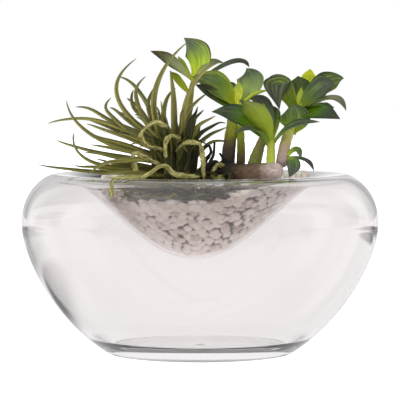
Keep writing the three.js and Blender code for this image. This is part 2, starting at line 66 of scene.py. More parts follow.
class Slot(Enum):
    """The record's material slots."""

    GLASS = "glass"
    PEBBLES = "pebbles"
    BARK = "bark"
    STEM = "stem"
    LEAF_GREEN = "leaf_green"
    LEAF_LIME = "leaf_lime"
    LEAF_DUSK = "leaf_dusk"
    BLADE = "blade"
    STRAW = "straw"


# ------------------------------------------------------------------ arrays and paths


def smooth(values: Array, start: float, end: float) -> Array:
    """Rises from 0 at start to 1 at end along 3t^2 - 2t^3, and stays flat outside."""
    t = np.clip((np.asarray(values, float) - start) / (end - start), 0.0, 1.0)
    return t * t * (3.0 - 2.0 * t)


def unit(vectors: Array) -> Array:
    """Divides each vector by its own length."""
    return vectors / np.maximum(np.linalg.norm(vectors, axis=-1, keepdims=True), 1e-9)


@dataclass(frozen=True)
class Track:
    """Stations along one or many paths: points and unit tangents, both (..., stations, 3)."""

    points: Array
    tangents: Array


def arch(start: Array, middle: Array, end: Array, along: Array) -> Track:
    """Samples curves that pass start at 0, middle at one half and end at 1.

    Formula: the quadratic Bezier curve whose control point is twice the middle less the mean of
    the two ends.

    Args:
        start, middle, end: points, (..., 3).
        along: places from 0 to 1, (stations,).
    Returns:
        The track.
    """
    a, m, b = (np.asarray(point, float)[..., None, :] for point in (start, middle, end))
    control = 2.0 * m - (a + b) / 2.0
    u = np.asarray(along)[:, None]
    points = (1 - u) ** 2 * a + 2 * u * (1 - u) * control + u**2 * b
    return Track(points, unit((1 - u) * (control - a) + u * (b - control)))


def through(knots: Array, along: Array) -> Track:
    """Samples a smooth curve through a line of points.

    Formula: centripetal Catmull-Rom. Between two knots the curve is the Hermite cubic whose end
    tangents come from the neighbouring knots, spaced by the square root of their distances.

    Args:
        knots: the points, (count, 3).
        along: places from 0 to 1, (stations,).
    Returns:
        The track.
    """
    knots = np.asarray(knots, float)
    padded = np.vstack([2 * knots[0] - knots[1], knots, 2 * knots[-1] - knots[-2]])
    spot = np.asarray(along) * (len(knots) - 1)
    index = np.minimum(spot.astype(int), len(knots) - 2)
    t = (spot - index)[:, None]
    p0, p1, p2, p3 = (padded[index + shift] for shift in range(4))
    d0, d1, d2 = (
        np.maximum(np.linalg.norm(b - a, axis=1, keepdims=True), 1e-6) ** 0.5
        for a, b in ((p0, p1), (p1, p2), (p2, p3))
    )
    leave = ((p1 - p0) / d0 - (p2 - p0) / (d0 + d1) + (p2 - p1) / d1) * d1
    reach = ((p2 - p1) / d1 - (p3 - p1) / (d1 + d2) + (p3 - p2) / d2) * d1
    c2 = -3 * p1 + 3 * p2 - 2 * leave - reach
    c3 = 2 * p1 - 2 * p2 + leave + reach
    points = p1 + leave * t + c2 * t**2 + c3 * t**3
    return Track(points, unit(leave + 2 * c2 * t + 3 * c3 * t**2))


def carry(track: Track, face: Array, side: Array, lift: Array) -> Array:
    """Carries a flat closed section along a track.

    Formula: the face direction made square to the tangent is the normal, normal x tangent is the
    side direction, and a point is the station plus its side and lift along those two.

    Args:
        track: the path or paths, (..., stations, 3).
        face: the way that the upper surface looks, (..., 3).
        side, lift: the section's points, (..., stations, around).
    Returns:
        The rings, (..., stations, around, 3).
    """
    face = np.asarray(face, float)[..., None, :]
    normal = unit(face - (face * track.tangents).sum(-1, keepdims=True) * track.tangents)
    across = np.cross(normal, track.tangents)
    sideways = across[..., None, :] * side[..., None]
    return track.points[..., None, :] + sideways + normal[..., None, :] * lift[..., None]


def circle(count: int) -> Array:
    """Even turns round a circle, in radians, from 0 on."""
    return np.linspace(0, 2 * np.pi, count, endpoint=False)


def scattered(numbers: Array) -> Array:
    """A value from 0 to 1 for each number, spread so that neighbours differ."""
    return (GOLDEN_SHARE * numbers) % 1.0


def poles(line: tuple[Triple, ...]) -> tuple[Array, Array]:
    """The first and the last point of a line, each (1, 3)."""
    return np.array([line[0]], float), np.array([line[-1]], float)


def ends(count: int, first: float, last: float) -> Array:
    """Stations from first to last that crowd together towards both ends, on half a cosine."""
    return first + (last - first) * (1 - np.cos(np.linspace(0, np.pi, count))) / 2


# ------------------------------------------------------------------ meshes


@dataclass
class Shell:
    """One or many closed surfaces, with the values that their finish reads at each vertex."""

    points: Array
    quads: Array
    triangles: Array = field(default_factory=lambda: np.zeros((0, 3), int))
    values: dict[str, Array] = field(default_factory=dict)

    @staticmethod
    def tubes(rings: Array, first: Array, last: Array, **values: Array) -> "Shell":
        """Closes rings of points into tubes with a pole at each end.

        Args:
            rings: the rings of all tubes, (tubes, stations, around, 3).
            first, last: the poles, (tubes, 3).
            values: values by name, each spread over (tubes, stations, around).
        Returns:
            The tubes as one shell.
        """
        count, stations, around = rings.shape[:3]
        flat = rings.reshape(count, -1, 3)
        points = np.concatenate([first[:, None, :], flat, last[:, None, :]], axis=1)
        ring, spot = np.meshgrid(np.arange(stations - 1), np.arange(around), indexing="ij")

        def at(row: Array, column: Array) -> Array:
            """The number of a ring's point within its tube."""
            return 1 + row * around + column % around

        quads = np.stack(
            [at(ring, spot), at(ring, spot + 1), at(ring + 1, spot + 1), at(ring + 1, spot)], -1
        ).reshape(-1, 4)
        turn = np.arange(around)
        start = np.stack([np.zeros_like(turn), at(0, turn + 1), at(0, turn)], -1)
        top = stations - 1
        pole = np.full_like(turn, points.shape[1] - 1)
        finish = np.stack([pole, at(top, turn), at(top, turn + 1)], -1)
        step = (np.arange(count) * points.shape[1])[:, None, None]
        spread = {}
        for name, value in values.items():
            grid = np.broadcast_to(value, (count, stations, around)).reshape(count, -1)
            poles = [grid[:, :around].mean(1, keepdims=True), grid[:, -around:].mean(1, keepdims=True)]
            spread[name] = np.concatenate([poles[0], grid, poles[1]], axis=1).ravel()
        return Shell(
            points.reshape(-1, 3),
            (quads[None] + step).reshape(-1, 4),
            (np.vstack([start, finish])[None] + step).reshape(-1, 3),
            spread,
        ).outward()

    def outward(self) -> "Shell":
        """Turns every face round if the shell's signed volume is negative."""
        corners = np.vstack([self.quads[:, [0, 1, 2]], self.quads[:, [0, 2, 3]], self.triangles])
        a, b, c = (self.points[corners[:, i]] for i in range(3))
        if np.einsum("ij,ij->i", a, np.cross(b, c)).sum() < 0:
            self.quads, self.triangles = self.quads[:, ::-1], self.triangles[:, ::-1]
        return self

    @staticmethod
    def joined(shells: list["Shell"]) -> "Shell":
        """Puts several shells into one; a value that a shell lacks is 0 there."""
        starts = np.cumsum([0] + [len(shell.points) for shell in shells[:-1]])
        names = sorted({name for shell in shells for name in shell.values})
        return Shell(
            np.vstack([shell.points for shell in shells]),
            np.vstack([shell.quads + start for shell, start in zip(shells, starts)]),
            np.vstack([shell.triangles + start for shell, start in zip(shells, starts)]),
            {
                name: np.concatenate(
                    [shell.values.get(name, np.zeros(len(shell.points))) for shell in shells]
                )
                for name in names
            },
        )

    def made(self, name: str, material: bpy.types.Material, smooth: bool = True) -> bpy.types.Object:
        """Makes the shell an object of the scene, in metres, with its finish and its values.

        Args:
            name: the object's name.
            material: its finish.
            smooth: whether light runs evenly over the edges between its faces.
        Returns:
            The object.
        """
        mesh = bpy.data.meshes.new(name)
        faces = [*self.quads.tolist(), *self.triangles.tolist()]
        mesh.from_pydata((self.points * MM).tolist(), [], faces)
        mesh.polygons.foreach_set("use_smooth", np.full(len(faces), smooth))
        for key, value in self.values.items():
            layer = mesh.attributes.new(key, "FLOAT", "POINT")
            layer.data.foreach_set("value", np.asarray(value, np.float32))
        mesh.update()
        mesh.materials.append(material)
        made = bpy.data.objects.new(name, mesh)
        bpy.context.scene.collection.objects.link(made)
        return made

    def piece(self, name: str, material: bpy.types.Material, slot: Slot, nodes: list[str]) -> None:
        """Makes the shell a finished piece that stands for nodes of the frame.

        Args:
            name: the piece's name.
            material: its finish.
            slot: the record's slot for that finish; not used.
            nodes: the nodes that the piece replaces.
        """
        made = self.made(name, material)
        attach(made, "root")
        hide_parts(*nodes)
        faces = len(self.quads) + len(self.triangles)
        LOG.info("%-22s %6d faces, strays %.1f mm", name, faces, self.stray(nodes))

    def stray(self, nodes: list[str]) -> float:
        """The most that the shell's box departs from the box of the nodes it stands for, in mm."""
        corners = np.array([[list(corner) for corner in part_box(node)] for node in nodes]) / MM
        low, high = corners[:, 0].min(0), corners[:, 1].max(0)
        own = [self.points.min(0), self.points.max(0)]
        return float(max(np.abs(own[0] - low).max(), np.abs(own[1] - high).max()))


# ------------------------------------------------------------------ finishes


def linear(colour: str) -> tuple[float, float, float, float]:
    """Turns an sRGB hex colour such as #a9bd48 into linear values with an alpha of 1."""
    values = [int(colour[i : i + 2], 16) / 255 for i in (1, 3, 5)]
    return (*(v / 12.92 if v <= 0.04045 else ((v + 0.055) / 1.055) ** 2.4 for v in values), 1.0)


@dataclass(frozen=True)
class Graph:
    """A node tree, with a short way to add each kind of node that the finishes need."""

    tree: bpy.types.NodeTree

    def add(
        self,
        kind: str,
        sockets: dict[str | int, object] | None = None,
        stops: tuple[tuple[float, str], ...] = (),
        **settings: object,
    ) -> bpy.types.Node:
        """Adds one node with its settings, its input values and its links.

        Args:
            kind: the node's type, without the words ShaderNode.
            sockets: a value, or a socket to link from, for each input by number, identifier or name.
            stops: a colour ramp's places and colours, in order.
            settings: the node's own properties.
        Returns:
            The node.
        """
        node = self.tree.nodes.new("ShaderNode" + kind)
        for key, value in settings.items():
            setattr(node, key, value)
        for number, (place, colour) in enumerate(stops):
            ramp = node.color_ramp.elements
            if number == 0:
                ramp.remove(ramp[-1])
            element = ramp[0] if number == 0 else ramp.new(place)
            element.position, element.color = place, linear(colour)
        for key, value in (sockets or {}).items():
            by_identifier = [s for s in node.inputs if s.identifier == key]
            socket = by_identifier[0] if by_identifier else node.inputs[key]
            if isinstance(value, Socket):
                self.tree.links.new(value, socket)
            else:
                socket.default_value = value
        return node

    def attributes(self, *names: str) -> list[Socket]:
        """The values that the mesh carries under these names."""
        return [self.add("Attribute", attribute_name=name).outputs["Fac"] for name in names]

    def place(self) -> Socket:
        """Where on the object a point lies, in metres."""
        return self.add("TexCoord").outputs["Object"]

    def noise(self, place: Socket, scale: float, detail: float, roughness: float = 0.5) -> Socket:
        """Soft noise from 0 to 1, whose largest blots are one over the scale wide."""
        inputs = {"Vector": place, "Scale": scale, "Detail": detail, "Roughness": roughness}
        return self.add("TexNoise", inputs).outputs["Fac"]

    def math(self, operation: str, *values: Socket | float) -> Socket:
        """One sum with the values in order."""
        return self.add("Math", dict(enumerate(values)), operation=operation).outputs[0]

    def vector(self, operation: str, *values: Socket | Triple) -> Socket:
        """One sum with vectors; a length comes out as a value."""
        outputs = self.add("VectorMath", dict(enumerate(values)), operation=operation).outputs
        return outputs["Value"] if operation == "LENGTH" else outputs[0]

    def scaled(self, colour: Socket, amount: Socket) -> Socket:
        """A colour made brighter or darker."""
        return self.add("VectorMath", {0: colour, "Scale": amount}, operation="SCALE").outputs[0]

    def vector_of(self, **parts: Socket) -> Socket:
        """A vector from its parts X, Y and Z; a part that is left out is 0."""
        return self.add("CombineXYZ", parts).outputs[0]

    def fade(
        self,
        value: Socket,
        start: float,
        end: float,
        low: Socket | float = 0.0,
        high: Socket | float = 1.0,
        eased: bool = False,
    ) -> Socket:
        """Goes from low to high while the value goes from start to end, and stays flat outside.

        Args:
            value: what it goes by.
            start, end: the value's range, which may run downward.
            low, high: the result at start and at end.
            eased: whether it leaves and arrives gently.
        Returns:
            The result.
        """
        inputs = {"Value": value, "From Min": start, "From Max": end, "To Min": low, "To Max": high}
        pace = "SMOOTHSTEP" if eased else "LINEAR"
        return self.add("MapRange", inputs, interpolation_type=pace).outputs[0]

    def blend(self, first: Socket | float, second: Socket | float, share: Socket) -> Socket:
        """A value on the way from the first to the second, by the share."""
        return self.fade(share, 0.0, 1.0, first, second)

    def ramp(self, value: Socket, *stops: tuple[float, str]) -> Socket:
        """A colour by the value, mixed between the stops."""
        return self.add("ValToRGB", {0: value}, stops=stops).outputs["Color"]

    def mix(self, share: Socket, first: Socket, second: str, blend_type: str = "MIX") -> Socket:
        """A colour on the way from the first to a plain second one, by the share."""
        inputs = {"Factor_Float": share, "A_Color": first, "B_Color": linear(second)}
        return self.add("Mix", inputs, data_type="RGBA", blend_type=blend_type).outputs[2]

    def skin(
        self, height: Socket, strength: float, distance: float, values: dict[str, object]
    ) -> Socket:
        """A surface with fine relief.

        Args:
            height: the relief's height.
            strength: how much of it shows.
            distance: how high it is, in metres.
            values: the surface's other inputs by name.
        Returns:
            The shader.
        """
        bump = self.add("Bump", {"Strength": strength, "Distance": distance, "Height": height})
        inputs = {**values, "Normal": bump.outputs["Normal"]}
        return self.add("BsdfPrincipled", inputs).outputs["BSDF"]

    def by_lens(self) -> Socket:
        """One on ways that the eye takes by mirror or lens alone, nought on ways that light matter."""
        path = self.add("LightPath").outputs
        bent = self.math("MAXIMUM", path["Is Glossy Ray"], path["Is Transmission Ray"])
        matter = self.math("GREATER_THAN", path["Diffuse Depth"], 0.5)
        return self.math("MULTIPLY", bent, self.math("SUBTRACT", 1.0, matter))

    def by_mirror(self) -> Socket:
        """One on ways that some surface has mirrored at least once, nought on all others."""
        return self.math("GREATER_THAN", self.add("LightPath").outputs["Glossy Depth"], 0.5)

    def seen_apart(self, shown: Socket, lighting: Socket) -> Socket:
        """One shader where the camera looks straight at it, and another for all other rays."""
        direct = self.add("LightPath").outputs["Is Camera Ray"]
        return self.add("MixShader", {0: direct, 1: lighting, 2: shown}).outputs[0]


@dataclass(frozen=True)
class Finish:
    """A finish with a name; each kind of finish builds its own nodes."""

    name: str

    def material(self) -> bpy.types.Material:
        """The finish's material, made the first time that it is asked for."""
        made = bpy.data.materials.get(self.name)
        if made is None:
            made = bpy.data.materials.new(self.name)
            made.use_nodes = True
            made.node_tree.nodes.clear()
            graph = Graph(made.node_tree)
            graph.add("OutputMaterial", {"Surface": self.shade(graph), **self.fill(graph)})
        return made

    def shade(self, graph: Graph) -> Socket:
        """Builds the surface's nodes and returns the shader."""
        raise NotImplementedError

    def fill(self, graph: Graph) -> dict[str, Socket]:
        """What the body is filled with, as a further input; most finishes have nothing here."""
        return {}


@dataclass(frozen=True)
class BlownGlass(Finish):
    """Clear soda-lime glass, blown by hand and fire-polished.

    To the eye it is colourless on its thin walls and smoky where it is looked along, at the
    silhouette, in the rim fold and in the heavy foot.
    """

    tint: str = "#fdfafa"
    smoke: str = "#7d7a77"
    density: float = 1.4
    ior: float = 1.5
    frost: float = 0.7

    def shade(self, graph: Graph) -> Socket:
        """A smooth refracting surface with the faint waves that blowing leaves, about 30 mm long."""
        wave = graph.noise(graph.place(), 33.0, 1.0)
        (ground,) = graph.attributes("ground")
        values = {
            "Base Color": linear(self.tint),
            "Roughness": graph.math("MULTIPLY", ground, self.frost),
            "IOR": self.ior,
            "Transmission Weight": 1.0,
        }
        return graph.skin(wave, 0.04, 0.001, values)

    def fill(self, graph: Graph) -> dict[str, Socket]:
        """The glass swallows a little light, so a long way through it looks grey."""
        dim = graph.add("VolumeAbsorption", {"Color": linear(self.smoke), "Density": self.density})
        return {"Volume": dim.outputs["Volume"]}


@dataclass(frozen=True)
class TumbledMarble(Finish):
    """White marble chips, tumbled until their corners are blunt.

    To the eye they are matte and chalky, white to a faint pink or grey from stone to stone. Their
    colour turns grey-brown the deeper a point lies in the bed: painted shade in the gaps between the
    stones.
    """

    white: str = "#fcf6ef"
    blush: str = "#efe1d7"
    grey: str = "#cabdb3"
    # the dark grey-brown of the gaps between the stones: painted shade
    gap: str = "#73665c"

    def shade(self, graph: Graph) -> Socket:
        """Each stone's own tone, mottled at 3 mm, with a grainy skin of 0.8 mm and painted shade where
        it lies deep.
        """
        tone, sink = graph.attributes("tone", "sink")
        place = graph.place()
        # tone 0, which only the core has, gives the dark grey-brown of the gaps: painted shade
        stops = (0.0, self.gap), (0.12, self.grey), (0.35, self.blush), (0.6, self.white)
        stone = graph.ramp(tone, *stops)
        mottle = graph.fade(graph.noise(place, 330.0, 4.0, roughness=0.6), 0.35, 0.7, 0.0, 0.3)
        colour = graph.mix(mottle, stone, self.grey, blend_type="MULTIPLY")
        # painted shade: the deeper a point lies in the bed, the more its colour turns to the dark
        # grey-brown of the gaps
        hollow = graph.fade(sink, 0.36, 0.8, 0.0, 0.95, eased=True)
        values = {
            "Base Color": graph.mix(hollow, colour, self.gap),
            "Roughness": 0.78,
            "IOR": 1.5,
            "Specular IOR Level": 0.35,
        }
        return graph.skin(graph.noise(place, 1200.0, 3.0), 0.35, 0.0006, values)


@dataclass(frozen=True)
class Stalk(Finish):
    """The skin of a stem or trunk: old cork at one end and fresh growth at the other.

    To the eye it is satin where it is green and dull and cracked where it is woody, with faint
    rings where leaves once sat and streaks that run along it.
    """

    stops: tuple[tuple[float, str], ...] = ((0.0, "#5d4c40"), (1.0, "#7d8a34"))
    streak: str = "#3a2f28"
    streaks: float = 0.35
    roughness: float = 0.6
    relief: float = 0.5

    def shade(self, graph: Graph) -> Socket:
        """Colour by place along the stalk, streaked lengthways at 1 mm and blotched at 5 mm."""
        along, around = graph.attributes("along", "around")
        blotch = graph.noise(graph.place(), 200.0, 3.0)
        warped = graph.math("MULTIPLY_ADD", blotch, 0.24, along)
        colour = graph.ramp(graph.math("SUBTRACT", warped, 0.12), *self.stops)
        stretched = graph.vector_of(X=around, Y=graph.math("MULTIPLY", along, 5.0))
        fibre = graph.noise(stretched, 2.4, 4.0)
        amount = graph.fade(fibre, 0.45, 0.72, 0.0, self.streaks)
        values = {
            "Base Color": graph.mix(amount, colour, self.streak),
            "Roughness": self.roughness,
            "Specular IOR Level": 0.35,
        }
        return graph.skin(graph.math("ADD", fibre, blotch), self.relief, 0.0008, values)


@dataclass(frozen=True)
class LeafSkin(Finish):
    """The waxy skin of a fleshy leaf.

    To the eye it glows lime near its foot, turns green along its middle and ends in a dusky tip
    and margin; streaks of each colour run into the next, and a thin bloom dulls the shine.
    """

    base: str = "#a9b54a"
    body: str = "#6f8a3c"
    tip: str = "#47523f"
    margin: str = "#3a3f38"
    under: str = "#8b9858"
    body_at: float = 0.45
    tip_at: float = 0.85
    margin_from: float = 0.72
    margin_share: float = 0.8
    lean: float = 0.0
    streaks: float = 0.3
    roughness: float = 0.42

    def shade(self, graph: Graph) -> Socket:
        """Colour by place along and across the leaf, with veins about 1 mm apart."""
        along, across, upper, tone = graph.attributes("along", "across", "upper", "tone")
        blotch = graph.noise(graph.place(), 160.0, 3.0)
        lines = graph.vector_of(
            X=graph.math("MULTIPLY", across, 8.0), Y=along, Z=graph.math("MULTIPLY", tone, 40.0)
        )
        vein = graph.noise(lines, 1.3, 3.0)
        shifted = graph.math("MULTIPLY_ADD", vein, 0.55, along)
        warped = graph.math("MULTIPLY_ADD", blotch, 0.2, shifted)
        centred = graph.math("SUBTRACT", warped, 0.375)
        stops = (0.04, self.base), (self.body_at, self.body), (self.tip_at, self.tip)
        run = graph.ramp(centred, *stops)
        outward = graph.math("ABSOLUTE", graph.math("ADD", across, self.lean))
        ragged = graph.math("MULTIPLY_ADD", blotch, 0.3, outward)
        edge = graph.fade(ragged, self.margin_from + 0.12, 1.15, 0.0, self.margin_share, eased=True)
        past_neck = graph.fade(along, 0.2, 0.6, eased=True)
        edged = graph.mix(graph.math("MULTIPLY", edge, past_neck), run, self.margin)
        veined = graph.mix(graph.fade(vein, 0.5, 0.68, 0.0, self.streaks), edged, self.base)
        patch = graph.math("MULTIPLY_ADD", blotch, 0.6, vein)
        varied = graph.scaled(veined, graph.fade(patch, 0.6, 1.0, 0.7, 1.28))
        near_foot = graph.fade(centred, 0.45, 0.95, 0.65, 0.12)
        below = graph.fade(upper, 0.1, -0.4, 0.0, near_foot)
        values = {
            "Base Color": graph.mix(below, varied, self.under),
            "Roughness": graph.fade(blotch, 0.3, 0.7, self.roughness - 0.06, self.roughness + 0.1),
            "IOR": 1.45,
            "Specular IOR Level": 0.3,
            "Subsurface Weight": 0.12,
            "Subsurface Radius": (0.5, 1.0, 0.2),
            "Subsurface Scale": 0.002,
            "Coat Weight": 0.12,
            "Coat Roughness": 0.35,
        }
        return graph.skin(graph.math("MULTIPLY_ADD", vein, 2.0, blotch), 0.25, 0.0008, values)


@dataclass(frozen=True)
class BladeSkin(Finish):
    """The skin of a slender blade.

    To the eye it is olive, darker and browner at its foot, with pale lines along it, and some blades
    are straw-coloured from end to end. Blades of low tone are painted near-black green as shade, and
    each face is painted darker along its middle and a little lighter at its edges.
    """

    foot: str = "#4a3d1c"
    body: str = "#7c7934"
    tip: str = "#6f713c"
    straw: str = "#a69b52"
    painted_shade_green: str = "#262b12"

    def shade(self, graph: Graph) -> Socket:
        """Colour by place along the blade, mixed with straw or with painted shade by the blade's own
        tone, with painted shade along each face's middle.
        """
        along, around, tone = graph.attributes("along", "around", "tone")
        blotch = graph.noise(graph.place(), 110.0, 2.0)
        shifted = graph.math("MULTIPLY_ADD", blotch, 0.3, along)
        stops = (0.1, self.foot), (0.42, self.body), (0.85, self.body), (1.0, self.tip)
        run = graph.ramp(shifted, *stops)
        lines = graph.vector_of(
            X=around, Y=graph.math("MULTIPLY", along, 1.5), Z=graph.math("MULTIPLY", tone, 30.0)
        )
        fibre = graph.noise(lines, 1.6, 3.0)
        strawed = graph.mix(graph.fade(tone, 0.55, 1.0, 0.0, 0.9), run, self.straw)
        # painted shade: the lower a blade's tone, the nearer its colour comes to a near-black green
        shaded = graph.mix(graph.fade(tone, 0.45, 0.0, 0.0, 0.95), strawed, self.painted_shade_green)
        # painted shade and highlight: each face is darker along its middle line and up to a tenth
        # lighter at its edges
        beside = graph.math("ABSOLUTE", graph.math("SUBTRACT", around, 1.5))
        groove_shade_edge_light = graph.fade(beside, 0.1, 0.9, 0.62, 1.1, eased=True)
        grain = graph.fade(fibre, 0.32, 0.68, 0.55, 1.35)
        values = {
            "Base Color": graph.scaled(shaded, graph.math("MULTIPLY", grain, groove_shade_edge_light)),
            "Roughness": 0.48,
            "Specular IOR Level": 0.45,
        }
        return graph.skin(fibre, 0.3, 0.0006, values)


@dataclass(frozen=True)
class DriedSkin(Finish):
    """A dead blade's papery skin: straw, matte, with browner edges and folds."""

    straw: str = "#b0aa6a"
    brown: str = "#5f5a2c"

    def shade(self, graph: Graph) -> Socket:
        """Straw and brown in streaks along the strip, mottled and crinkled at 2 mm."""
        along, around = graph.attributes("along", "around")
        lines = graph.vector_of(X=around, Y=graph.math("MULTIPLY", along, 7.0))
        fibre = graph.noise(lines, 1.5, 4.0)
        colour = graph.ramp(fibre, (0.32, self.brown), (0.58, self.straw))
        crinkle = graph.noise(graph.place(), 500.0, 2.0)
        values = {
            "Base Color": graph.scaled(colour, graph.fade(crinkle, 0.4, 0.62, 0.68, 1.1)),
            "Roughness": 0.7,
            "Specular IOR Level": 0.25,
        }
        return graph.skin(graph.math("ADD", crinkle, fibre), 0.7, 0.001, values)


@dataclass(frozen=True)
class DarkCard:
    """A dark card on the table, out of sight, for the glass to draw its edges with.

    It is an ellipse given by its centre and its half axes in metres, how far its soft margin
    reaches in and out as a share of them, and the share of the table's light it holds back.
    """

    at: tuple[float, float]
    half: tuple[float, float]
    soft: float
    share: float


@dataclass(frozen=True)
class OpalTable(Finish):
    """A sheet of opal acrylic lit from below, as for product photographs: plain and white."""

    white: str = "#f6f6f6"
    glow: float = 0.8
    lit_glow: float = 1.05
    lens_glow: float = 0.955
    under_glow: float = 2.4
    front_glow: float = 2.2
    front_mirror: float = 0.25
    front: tuple[float, float] = (-0.15, -0.6)
    cards: tuple[DarkCard, ...] = (
        DarkCard((-0.21, 0.07), (0.085, 0.11), 0.4, 0.78),
        DarkCard((-0.36, 0.38), (0.13, 0.28), 0.4, 0.45),
        DarkCard((-0.64, 0.88), (0.24, 0.6), 0.3, 0.6),
        DarkCard((-1.2, 1.0), (0.5, 0.5), 0.3, 0.5),
        DarkCard((0.57, 0.46), (0.17, 0.2), 0.25, 0.95),
        DarkCard((0.62, 1.02), (0.22, 0.42), 0.3, 0.65),
        DarkCard((1.2, 1.0), (0.48, 0.46), 0.2, 0.95),
    )

    def shade(self, graph: Graph) -> Socket:
        """Matte white with a glow of its own, which the cards dim where glass bends the view."""
        place = graph.place()
        glow = self.lens_glow
        for card in self.cards:
            away = graph.vector("SUBTRACT", place, (*card.at, 0.0))
            beyond = graph.vector("LENGTH", graph.vector("DIVIDE", away, (*card.half, 1.0)))
            margin = (1.0 - card.soft, 1.0 + card.soft)
            let_by = graph.fade(beyond, *margin, 1.0 - card.share, 1.0, eased=True)
            glow = graph.math("MULTIPLY", glow, let_by)
        depth = graph.add("SeparateXYZ", {0: place}).outputs["Y"]
        lighting = graph.fade(depth, *self.front, self.lit_glow, self.front_glow, eased=True)
        mirrored = graph.fade(depth, *self.front, 1.0, self.front_mirror, eased=True)
        under = graph.fade(graph.vector("LENGTH", place), 0.1, 0.25, self.under_glow, 0.0, eased=True)
        upward = graph.math("MAXIMUM", lighting, under)
        bent = graph.math("MULTIPLY", glow, graph.blend(1.0, mirrored, graph.by_mirror()))
        spread = graph.blend(upward, bent, graph.by_lens())
        matte = graph.add("BsdfDiffuse", {"Color": linear(self.white)}).outputs[0]
        own = graph.add("Emission", {"Strength": self.glow}).outputs[0]
        seen = graph.add("AddShader", {0: matte, 1: own}).outputs[0]
        return graph.seen_apart(seen, graph.add("Emission", {"Strength": spread}).outputs[0])


GLASS = BlownGlass("blown_soda_lime_glass")
MARBLE = TumbledMarble("tumbled_white_marble")
BLADE = BladeSkin("slender_blade_skin")
DRIED = DriedSkin("dried_blade_skin")
BARK = Stalk(
    "old_cork_bark",
    stops=(
        (0.0, "#1e1b16"),
        (0.34, "#2c261f"),
        (0.5, "#604a39"),
        (0.76, "#7c6654"),
        (0.92, "#b3a299"),
    ),
    streak="#2a2019",
    streaks=0.65,
    roughness=0.85,
    relief=1.0,
)


class LeafLook(Enum):
    """The broad leaves' finishes, from sunlit lime to the dusk of the oldest leaves."""

    SUNLIT = LeafSkin(
        "leaf_sunlit", "#c0ca1b", "#8cab28", "#4d5b4a", "#2f3f2b", "#97ac39",
        0.38, 0.82, 0.68, 0.9, 0, 0.4,
    )
    LIME = LeafSkin(
        "leaf_fresh_lime", "#aab018", "#98a316", "#76820e", "#59640c", "#99a31a",
        0.34, 0.84, 0.78, 0.5,
    )
    PALE_LIME = LeafSkin(
        "leaf_pale_lime", "#b9bf29", "#c2c83b", "#8ea232", "#677522", "#a9b630",
        0.34, 0.84, 0.73, 0.5,
    )
    GOLDEN = LeafSkin(
        "leaf_golden", "#b2b808", "#b0b608", "#a9af08", "#879108", "#afb608",
        0.34, 0.84, 0.78, 0.3,
    )
    ASHEN = LeafSkin(
        "leaf_ashen", "#a3a830", "#8b946a", "#42392a", "#2c271a", "#747f41",
        0.3, 0.75, 0.43, 0.85, 0.15,
    )
    DUSTY = LeafSkin(
        "leaf_dusty", "#979f38", "#878c5d", "#565848", "#3a3c30", "#828950",
        0.34, 0.79, 0.63, 0.7,
    )
    NIGHT = LeafSkin(
        "leaf_night", "#6f791b", "#4c5a44", "#33382f", "#22262a", "#495233",
        0.26, 0.7, 0.43, 0.85,
    )
    STRIPED = LeafSkin(
        "leaf_striped", "#96a308", "#5c7520", "#4c5b3b", "#2a3422", "#6e8527",
        0.42, 0.79, 0.4, 0.85, 0.2, 0.6,
    )
    TEAL = LeafSkin(
        "leaf_teal", "#738808", "#516625", "#202615", "#16190d", "#536629",
        0.34, 0.66, 0.43, 0.9,
    )
    BLUSHED = LeafSkin(
        "leaf_blushed", "#839813", "#8da160", "#485743", "#364033", "#778b4d",
        0.34, 0.81, 0.63, 0.7, 0.1, 0.6,
    )
    MEADOW = LeafSkin(
        "leaf_meadow", "#93a31b", "#607e2f", "#445535", "#2b3625", "#6e852d",
        0.38, 0.79, 0.53, 0.8,
    )
    EMERALD = LeafSkin(
        "leaf_emerald", "#839517", "#4c7608", "#323a31", "#1e2c27", "#728c1b",
        0.42, 0.75, 0.53, 0.8,
    )
    OLIVE = LeafSkin(
        "leaf_olive", "#909b2a", "#7a8926", "#5a622d", "#323827", "#829228",
        0.38, 0.84, 0.78, 0.8,
    )
    MOSS = LeafSkin(
        "leaf_moss", "#73850d", "#495d0d", "#3d4c27", "#22291b", "#546915",
        0.38, 0.79, 0.53, 0.8,
    )
    SLATE = LeafSkin(
        "leaf_slate", "#859a28", "#476137", "#474d42", "#252b27", "#667f39",
        0.34, 0.7, 0.58, 0.85,
    )
    PLUM = LeafSkin(
        "leaf_plum", "#788c1e", "#4f612d", "#393c36", "#27262b", "#4e5535",
        0.34, 0.66, 0.53, 0.85, -0.1, 0.52,
    )

    @property
    def slot(self) -> Slot:
        """The record's slot that this look belongs to."""
        lime = (LeafLook.SUNLIT, LeafLook.LIME, LeafLook.PALE_LIME, LeafLook.GOLDEN)
        dusk = (LeafLook.ASHEN, LeafLook.NIGHT, LeafLook.SLATE, LeafLook.PLUM, LeafLook.TEAL)
        return Slot.LEAF_LIME if self in lime else Slot.LEAF_DUSK if self in dusk else Slot.LEAF_GREEN


# ------------------------------------------------------------------ the vase


def bezier(corners: Array, along: Array) -> Array:
    """Samples a cubic Bezier curve, the Bernstein mix of its four corners, (stations, 2)."""
    u = np.asarray(along)[:, None]
    a, b, c, d = np.asarray(corners, float)
    return (1 - u) ** 3 * a + 3 * u * (1 - u) ** 2 * b + 3 * u**2 * (1 - u) * c + u**3 * d


def offset(outline: Array, amount: Array) -> Array:
    """Moves each point of an open outline to its left, square to the line through its neighbours."""
    chord = unit(np.vstack([outline[1:], outline[-1:]]) - np.vstack([outline[:1], outline[:-1]]))
    return outline + np.stack([-chord[:, 1], chord[:, 0]], -1) * np.reshape(amount, (-1, 1))


